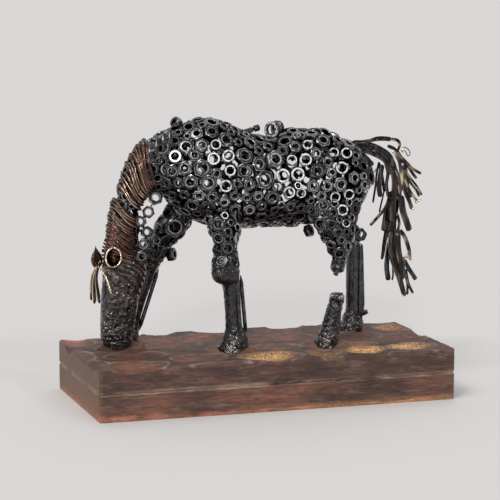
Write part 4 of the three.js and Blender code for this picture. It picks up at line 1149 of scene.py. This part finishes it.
# Strips as they hang: sideways place, width, how golden the edges are, partly painted highlight, then x
# and z of each point.
tailStrips = [
    (18, 3.6, 0.05, 89.7, 204.8, 103.8, 205.7, 115.9, 208.2, 127.5, 207.3),
    (19, 2.6, 0.45, 127.4, 207.5, 133.5, 206.1, 135.4, 202.5, 134.4, 197.3),
    (14, 4.3, 0, 92.8, 203.7, 105.3, 201.9, 117.4, 198.7, 125.1, 192.4, 127.7, 181.9),
    (12, 3.6, 0, 88, 203.5, 96, 199, 103.6, 192.2, 108.7, 186.4),
    (11, 3.9, 0.05, 97.1, 200.5, 107.2, 196.9, 116.3, 192.4, 121.9, 186.1, 123.7, 177.5),
    (22, 2.8, 0.3, 125.6, 201.6, 131.7, 198.6, 136.9, 193.2, 141.1, 185.9),
    (26, 2.8, 0.1, 114, 195.9, 123.2, 193.7, 130.4, 188.2, 133.5, 180.5, 134.1, 171.9),
    (14, 1.6, 0, 115, 188.9, 112.8, 178.5, 111.9, 166.3, 109.5, 154),
    (13, 3.9, 0, 117.6, 186.5, 115.7, 175.7, 114.8, 167.2, 116.6, 159.1),
    (15, 2.6, 0.1, 120.9, 188.6, 123.6, 179, 122.3, 168.6, 123.8, 158.1),
    (20, 1, 0.1, 122.1, 163.4, 121, 158.6, 119.7, 152, 118, 144.9),
    (15, 2.4, 0, 124.8, 155.2, 120.3, 148.2, 114.3, 141.3, 107.8, 134.9),
    (18, 4.3, 0, 128.5, 163.4, 125, 151.1, 122.4, 139.7, 121.2, 129.2),
    (20, 4.5, 0, 126, 136.5, 123.7, 123.1, 122.1, 113.6, 120.5, 104.5),
    (17, 4.1, 0, 126.3, 120.5, 124.6, 107.2, 124.1, 96.6, 125.4, 86.7),
    (23, 1.3, 0, 130, 109, 131.9, 99.2, 132, 91.5, 131.7, 85.7),
    (12, 4.7, 0.1, 126.4, 184.9, 128.2, 170.7, 127.7, 153.6, 126.4, 136.5),
    (14, 4.5, 0.05, 127.6, 140, 127, 128.5, 126.5, 117.1, 128.5, 107.4),
    (11, 3.2, 0.35, 125.2, 129.9, 123.9, 116.6, 127.1, 103.1, 132.6, 88.4, 137.3, 73.9),
    (22, 3.6, 0.2, 133.6, 167.5, 134.5, 152.2, 132.9, 136.9, 132.5, 125.4),
    (25, 3.2, 0.2, 133.8, 110.5, 137.1, 97.8, 140.3, 85, 144.6, 70.7),
    (12, 4.9, 0.3, 132, 129.1, 132.5, 115.2, 134.9, 101.6, 137.9, 88.8),
    (24, 1.9, 0.3, 141.8, 98.7, 144.8, 86.9, 146.1, 79, 146.4, 72.2),
    (22, 2, 0.4, 143.6, 95, 145.5, 85.2, 147.9, 78.3, 150.1, 73.5),
    (17, 3.4, 0.35, 139.9, 104.1, 143.9, 96.6, 147.8, 90.7, 151.3, 86.2),
    (16, 3.4, 0.7, 135.2, 129.9, 140.3, 122.9, 143.3, 114.2, 144.4, 105),
    (13, 5.3, 0.3, 134.6, 159.9, 136.6, 147.4, 139.6, 137.7, 143.2, 129),
    (11, 2.3, 1, 130.7, 145, 132.5, 137.3, 131.9, 131.6, 131.2, 125.9),
    (13, 2.8, 1, 126.6, 198.6, 132.3, 190.3, 134.4, 181.7, 135.3, 173.2, 134.6, 164.6, 130.8, 156.7),
    (20, 2.3, 0.7, 133.5, 195.8, 141.2, 188, 147.4, 182.1, 155.7, 176.8),
    (28, 2.4, 0.4, 139.3, 190.7, 146.6, 182.8, 151.3, 176.9, 155, 172.1),
    (21, 1.6, 0.8, 139.7, 182.7, 146.9, 172.9, 153.2, 165.1, 157.6, 158.3),
    (27, 2.1, 0.6, 143.7, 177.2, 149.4, 168.4, 154.7, 161.5, 157.6, 156.6),
    (16, 1.9, 0.9, 137.2, 177.6, 141.9, 166.9, 146.3, 160.1, 150.4, 154),
    (20, 3.2, 0.4, 137.8, 173.3, 141.3, 162.7, 144.5, 154.9, 148.1, 146.9),
    (12, 2.6, 0.5, 128.9, 183.4, 131.8, 176.2, 133.2, 166.7, 134.1, 158.1),
    (24, 3.8, 0.3, 141.9, 185.2, 143.5, 175.6, 145.2, 165, 148.4, 156.3),
    (18, 3.2, 0.2, 133.6, 158.4, 136.7, 152.6, 138.8, 146.7, 139.7, 142.9),
    (27, 2.4, 0, 119.6, 187.5, 122.7, 176.9, 124.3, 168.3, 124.9, 161.6),
    (24, 3.4, 0.1, 132, 155.9, 129, 146.4, 127.6, 133, 128.2, 122.4),
]
# Beads are bits of bare brazing at the ends of some strips. A loop of thin wire is at the top.
tailForm = {
    "thickness": 1.5,
    "widen": 1.12,
    "steps": 22,
    "seed": 81,
    "spine": [(94, 22, 205.5), (108, 22, 203), (121, 22, 197.5), (130, 22, 187.5), (133, 22, 173),
              (131.5, 22, 158), (130.5, 22, 143), (130.5, 22, 128), (132.5, 22, 113), (136.5, 22, 99),
              (141, 22, 86)],
    "spineSize": (5, 3),
    "beads": [(138.9, 15, 105.8), (141.8, 14, 107.4), (144.9, 15, 105.1), (149.8, 15, 153.4),
              (152.7, 16, 154.4), (148.1, 19, 147.2), (137.4, 16, 197.6), (131, 12, 126.4)],
    "beadRadius": 1.5,
    "beadSeed": 82,
    "loop": [(138.6, 20, 200), (141.6, 20, 199.6), (144.7, 20, 197), (145.5, 20, 194), (143.7, 20, 192.5),
             (142, 20, 195.1), (139.6, 20, 198.2)],
    "loopRadius": 0.45,
    "rumpWire": [(103.4, 13, 188.4), (106, 12, 182.1), (109.5, 12, 180.5), (112.3, 13, 183.4)],
    "rumpRadius": 0.6,
}


# Each strip is a flat bar carried along the smooth curve through its points, rippled and turned about its
# own line by a seeded lean that grows from its root.
def buildTail(material):
    rng = np.random.default_rng(tailForm["seed"])
    run = np.linspace(0, 1, tailForm["steps"])
    shapes = []
    for y, width, golden, *places in tailStrips:
        path = smoothCurve([(x, y, z) for x, z in zip(places[::2], places[1::2])], run)
        path[:, 0] += 0.35 * np.sin(run * rng.uniform(6, 11) + rng.uniform(0, 6)) * run
        lean = (run * rng.uniform(-0.5, 0.5) + rng.uniform(-0.3, 0.3))[None]
        profile = flatProfile(width * tailForm["widen"], tailForm["thickness"])
        edges = np.abs(profile[:, 0]) / (width * tailForm["widen"] / 2)
        # gold on the edges and in streaks along the strip: partly rubbed gold, partly painted highlight
        streak = np.clip(0.45 + 0.8 * np.sin(run * 12 + rng.uniform(0, 6)), 0, 1)[None, :, None]
        gildAndHighlight = np.clip((edges**4)[None, None] * streak * (0.35 + 2.4 * golden), 0, 1)
        gildAndHighlight = np.maximum(gildAndHighlight, 1.2 * max(golden - 0.25, 0) * streak)
        shapes.append(carried(path[None], (1.0, 0.15, 0.3), profile, {"gildAndHighlight": gildAndHighlight}, 18, lean))
    spine = smoothCurve(tailForm["spine"], np.linspace(0, 1, 60))
    shapes.append(carried(spine[None], (1, 0, 0.3), flatProfile(*tailForm["spineSize"]), {"gildAndHighlight": 0.05}))
    for label, radius in (("loop", tailForm["loopRadius"]), ("rumpWire", tailForm["rumpRadius"])):
        wire = smoothCurve(tailForm[label], np.linspace(0, 1, 40))
        shapes.append(carried(wire[None], (0, 1, 0), roundProfile(radius), {"gildAndHighlight": 0.3}))
    sizes = np.full(len(tailForm["beads"]), tailForm["beadRadius"])
    points, faces, _ = tackShapes(tailForm["beads"], sizes, tailForm["beadSeed"])
    addPiece("tail", [*shapes, (points, faces, {"gildAndHighlight": 1.0})], material, "gilded_wire", "tail")


# Tips of the strips and their widths. Each hangs from the root over a crown between root and tip.
forelockForm = {
    "root": (-126.6, 24.5, 109.5),
    "seed": 91,
    "steps": 20,
    "thickness": 1.2,
    "tips": [((-132.2, 27, 81), 3.4), ((-130.6, 23, 78.5), 3.2), ((-128.6, 29, 78), 3),
             ((-126.6, 21, 79), 2.8), ((-125.4, 26, 82), 2.8), ((-117.8, 15.5, 87), 1.5),
             ((-132.6, 24, 87), 2.6), ((-128.5, 25, 94), 2.8)],
}


def buildForelock(material):
    rng = np.random.default_rng(forelockForm["seed"])
    run = np.linspace(0, 1, forelockForm["steps"])
    root = np.array(forelockForm["root"])
    shapes = []
    for tip, width in forelockForm["tips"]:
        tip = np.array(tip, float)
        crown = root * 0.55 + tip * 0.45 + (-2.2 if tip[0] < -124 else 1.2, 0, 2)
        path = smoothCurve([root + (3, 0, 4), root, crown, tip], run)
        profile = flatProfile(width, forelockForm["thickness"])
        edges = np.abs(profile[:, 0]) / (width / 2)
        # gold on the edges: partly rubbed gold, partly painted highlight
        gildAndHighlight = np.clip(edges**3 * rng.uniform(1.0, 1.8) + (width < 2), 0, 1)[None, None]
        shapes.append(carried(path[None], (1, 0.3, 0), profile, {"gildAndHighlight": gildAndHighlight}, 40))
    addPiece("forelock", shapes, material, "gilded_wire", "forelock")


plinthForm = {
    "length": 300,
    "width": 144,
    "joint": 22,
    "gap": 0.15,
    "top": 42.5,
    "corner": 3,
    "arris": 1.3,
    "footGap": 0.3,  # between the wood and what stands on it
    "columns": 300,
    "rows": 144,
    "wallRows": 12,
    "jointInset": 0.7,
    "sharp": 60,
    "lowerLoop": (120, 60),  # points along and across the lower board
}
# Carved scoops: middle x and y, reach along x and y, depth, how red and how golden the hollow is.
scoops = [
    (-118, -60, 28, 17, 4.2, 0.9, 0), (-62, -46, 23, 17, 4, 1, 0), (-4, -56, 27, 19, 4.5, 0.8, 0.75),
    (42, -57, 17, 17, 5, 0.8, 1.25), (78, -53, 19, 17, 4.6, 0.8, 1.1), (119, -50, 22, 15, 4.6, 0.8, 0.95),
    (112, -77, 26, 9, 3.2, 0.2, 0), (-50, -74, 24, 8, 1.8, 0.2, 0), (-146, -48, 12, 20, 3, 0.2, 0),
    (-150, -10, 12, 22, 2.6, 0.3, 0), (-150, 35, 13, 12, 4, 0, 0), (-138, 52, 16, 18, 3.4, 1, 0),
    (-108, -22, 24, 20, 4.6, 0.35, 0), (-108, 14, 24, 22, 6, 0.3, 0), (-68, 14, 26, 15, 3.8, 0.7, 0),
    (-74, 45, 20, 16, 3.6, 0.9, 0.1), (-98, 66, 26, 12, 3.4, 0.7, 0), (-130, 72, 22, 10, 3.2, 0.6, 0),
    (-62, 70, 14, 10, 2.6, 0.2, 0), (-33, 38, 21, 19, 3.8, 0.95, 0), (-12, 70, 20, 14, 5.2, 0.6, 0),
    (-26, -20, 22, 22, 5.4, 0.5, 0.1), (12, -20, 20, 15, 3.6, 0.6, 0.12), (4, 20, 24, 18, 3.4, 0.6, 0),
    (40, 20, 20, 15, 3.4, 0.8, 0), (36, 50, 20, 16, 3.6, 0.8, 0), (52, 70, 18, 10, 3.6, 0.3, 0),
    (56, -22, 22, 22, 5.2, 0.6, 0.1), (84, -26, 14, 10, 2.8, 1, 0), (94, 8, 22, 18, 3.2, 0.2, 0),
    (126, -12, 24, 17, 3.4, 0.3, 0), (102, 42, 24, 18, 4.4, 0.3, 0), (78, 62, 18, 12, 2.8, 0.2, 0),
    (135, 38, 14, 18, 3.8, 0.8, 0.5), (140, 70, 24, 12, 5, 0.1, 0), (146, 5, 12, 18, 2.8, 0.2, 0),
]


# Carved top: the lowest of the scoops' bowls, top - depth * (1 - (dx / reach)^2 - (dy / reach)^2), over
# places that a slow ripple shifts. Also gives how far above it the next bowl is, and the hollow's colours,
# with painted light on each bowl's far slope.
def carvedHeight(x, y):
    top = plinthForm["top"]
    flat = np.stack([x, y, np.zeros_like(x)], -1)
    x, y = x + 1.6 * ripple(flat, 36, 105), y + 1.3 * ripple(flat, 30, 106)
    height, runnerUp = np.full(x.shape, top), np.full(x.shape, top + 3.0)
    red, gold = np.zeros(x.shape), np.zeros(x.shape)
    for atX, atY, reachX, reachY, depth, redness, gilding in scoops:
        apart = ((x - atX) / reachX) ** 2 + ((y - atY) / reachY) ** 2
        bowl = top - depth * (1 - apart)
        inside = np.clip(1.25 - 1.25 * apart, 0, 1) ** 0.5
        facing = np.clip(0.5 + 1.3 * (y - atY) / reachY, 0, 1)  # painted light: the far slope, which faces the viewer, is coloured redder and golden
        red = np.where(bowl < height, redness * inside * (0.45 + 0.55 * facing), red)
        gold = np.where(bowl < height, gilding * inside * facing, gold)
        runnerUp = np.minimum(runnerUp, np.maximum(height, bowl))
        height = np.minimum(height, bowl)
    depth = runnerUp - height
    height = height + 0.20 * ripple(flat * (1, 0.35, 1), 3.2, 101) * np.clip(depth, 0, 1)  # tool marks
    height = height + 0.22 * ripple(flat * (0.4, 1, 1), 8.0, 102)
    return np.minimum(height, top), depth, red, gold


# Heights of a shape's points, raised where needed to stay just off the carved wood.
def onCarving(points):
    ground = carvedHeight(points[..., 0], points[..., 1])[0] + plinthForm["footGap"]
    return np.maximum(points[..., 2], np.where(points[..., 2] < plinthForm["top"] + 1, ground, 0))


# Footprint with round corners: a corner square's points drawn in to max(dx, dy) from its inner point.
def roundCorners(x, y, inset=0.0):
    halfX, halfY, radius = plinthForm["length"] / 2, plinthForm["width"] / 2, plinthForm["corner"]
    beyondX, beyondY = np.abs(x) - (halfX - radius), np.abs(y) - (halfY - radius)
    corner = (beyondX > 0) & (beyondY > 0)
    share = np.where(corner, np.maximum(beyondX, beyondY) / np.maximum(np.hypot(beyondX, beyondY), 1e-9), 1)
    newX = np.where(corner, halfX - radius + beyondX * share, np.abs(x)) * (1 - inset / halfX)
    newY = np.where(corner, halfY - radius + beyondY * share, np.abs(y)) * (1 - inset / halfY)
    return np.sign(x) * newX, np.sign(y) * newY


# The border of the footprint as one loop of points, counter-clockwise.
def borderLoop(columns, rows):
    halfX, halfY = plinthForm["length"] / 2, plinthForm["width"] / 2
    longX, longY = np.linspace(-halfX, halfX, columns), np.linspace(-halfY, halfY, rows)
    x = np.concatenate([longX[:-1], np.full(rows - 1, halfX), longX[:0:-1], np.full(rows - 1, -halfX)])
    y = np.concatenate([np.full(columns - 1, -halfY), longY[:-1], np.full(columns - 1, halfY), longY[:0:-1]])
    return x, y


# How much a point is on an end face, for the end grain's colour.
def onEnds(x):
    return np.clip((np.abs(x) - plinthForm["length"] / 2 + 3) / 2.5, 0, 1)


# Upper board: the carved top as a grid with its arris rounded, rows of wall from its border down to the
# joint, and a fan below.
def upperBoardShape():
    length, width, arris = plinthForm["length"], plinthForm["width"], plinthForm["arris"]
    columns, rows, wallRows = plinthForm["columns"], plinthForm["rows"], plinthForm["wallRows"]
    along, across = np.linspace(-length / 2, length / 2, columns), np.linspace(-width / 2, width / 2, rows)
    x, y = np.meshgrid(along, across)
    height, depth, red, gold = carvedHeight(x, y)
    fromEdge = np.minimum(length / 2 - np.abs(x), width / 2 - np.abs(y))
    height = height - (arris - np.sqrt(arris**2 - np.clip(arris - fromEdge, 0, arris) ** 2))
    top = np.stack([*roundCorners(x, y), height], -1).reshape(-1, 3)
    loopX, loopY = borderLoop(columns, rows)
    i = np.rint((loopX / length + 0.5) * (columns - 1)).astype(int)
    j = np.rint((loopY / width + 0.5) * (rows - 1)).astype(int)
    rim = j * columns + i
    floor = plinthForm["joint"] + plinthForm["gap"]
    share = np.linspace(0, 1, wallRows)[1:, None]
    wallZ = top[rim, 2] * (1 - share) + floor * share
    inset = np.where(share > 0.93, plinthForm["jointInset"], 0.0)
    wallX, wallY = roundCorners(loopX[None] * np.ones_like(share), loopY[None] * np.ones_like(share), inset)
    wall = np.stack([wallX, wallY, wallZ], -1).reshape(-1, 3)
    count = len(rim)
    number = np.concatenate([rim, len(top) + np.arange(len(wall))]).reshape(wallRows, count)
    faces = gridFaces(wallRows, count, False, True)
    walls = number[faces // count, faces % count]
    last = number[-1]
    fan = np.stack([last, np.full(count, len(top) + len(wall)), np.roll(last, -1)], -1)

    def marked(onTop, onWall=0.0):  # values on the top and the wall, with 0 at the middle of the fan
        return np.concatenate([np.broadcast_to(onTop, len(top)), np.broadcast_to(onWall, len(wall)), [0.0]])

    worn = np.clip(ripple(np.stack([x, y, np.zeros_like(x)], -1), 40, 103) * 0.35 + 0.75, 0, 1).reshape(-1)
    seam = np.clip((share - 0.86) / 0.1, 0, 1) * np.ones(count)
    marks = {
        "hollow": marked(red.reshape(-1) * worn * 0.85),
        # painted highlight along the ridges, where the next bowl lies close above
        "crest": marked(0.8 * np.exp(-depth / 0.3).reshape(-1)),
        "bare": marked(np.clip(gold.reshape(-1) * worn * 1.15, 0, 1)),
        "edge": marked(0.0, seam.reshape(-1)),
        "ends": marked(0.0, onEnds(wall[:, 0])),
    }
    points = np.concatenate([top, wall, [[0, 0, floor]]])
    return points, [gridFaces(rows, columns)[:, ::-1], walls, fan], marks


# Lower board: a profile of inset and height carried round the footprint, closed by a fan on both faces.
def lowerBoardShape():
    height = plinthForm["joint"] - plinthForm["gap"]
    loopX, loopY = borderLoop(*plinthForm["lowerLoop"])
    count = len(loopX)
    profile = [(0.9, 0.0), (0.3, 0.25), (0.0, 0.9), *((0.0, z) for z in np.linspace(2, height - 1.5, 9)),
               (0.0, height - 0.8), (0.6, height)]
    rings = [np.stack([*roundCorners(loopX, loopY, inset), np.full(count, z)], -1) for inset, z in profile]
    points = np.concatenate([*rings, [[0, 0, 0]], [[0, 0, height]]])
    ring = np.arange(count)
    last = (len(profile) - 1) * count
    under = np.stack([ring, np.full(count, len(points) - 2), (ring + 1) % count], -1)
    over = np.stack([last + (ring + 1) % count, np.full(count, len(points) - 1), last + ring], -1)
    x, z = points[:, 0], points[:, 2]
    foot = np.clip(1 - z / 5.5, 0, 1)
    front = np.clip(0.25 + 0.4 * ripple(points * (1, 0.3, 1), 70, 104), 0, 1)
    marks = {
        "hollow": np.clip(foot * 1.1 + front * 0.45, 0, 1),
        "crest": 0.0,
        "bare": foot**1.5 * np.clip(0.25 + x / 260, 0.06, 0.6),
        "edge": np.clip((z - height + 1.2) / 1.0, 0, 1),
        "ends": onEnds(x),
    }
    return points, [gridFaces(len(profile), count, False, True), under, over], marks


def buildPlinth(material):
    finish = (material, "stained_wood")
    addPiece("carvedBoard", [upperBoardShape()], *finish, "plinth_upper_board", plinthForm["sharp"])
    addPiece("lowerBoard", [lowerBoardShape()], *finish, "plinth_lower_board", plinthForm["sharp"])


buildStudio()
nutSteel = steelMaterial("nutSteel")
roughSteel = steelMaterial("roughSteel")
gildedWire = gildedMaterial("gildedWire")
gildedStrip = gildedMaterial("gildedStrip")
stainedWood = woodMaterial()
buildBody(nutSteel)
buildLegs(roughSteel, nutSteel)
buildHead(roughSteel, nutSteel, gildedWire)
buildMane(gildedWire)
buildTail(gildedStrip)
buildForelock(gildedStrip)
buildPlinth(stainedWood)
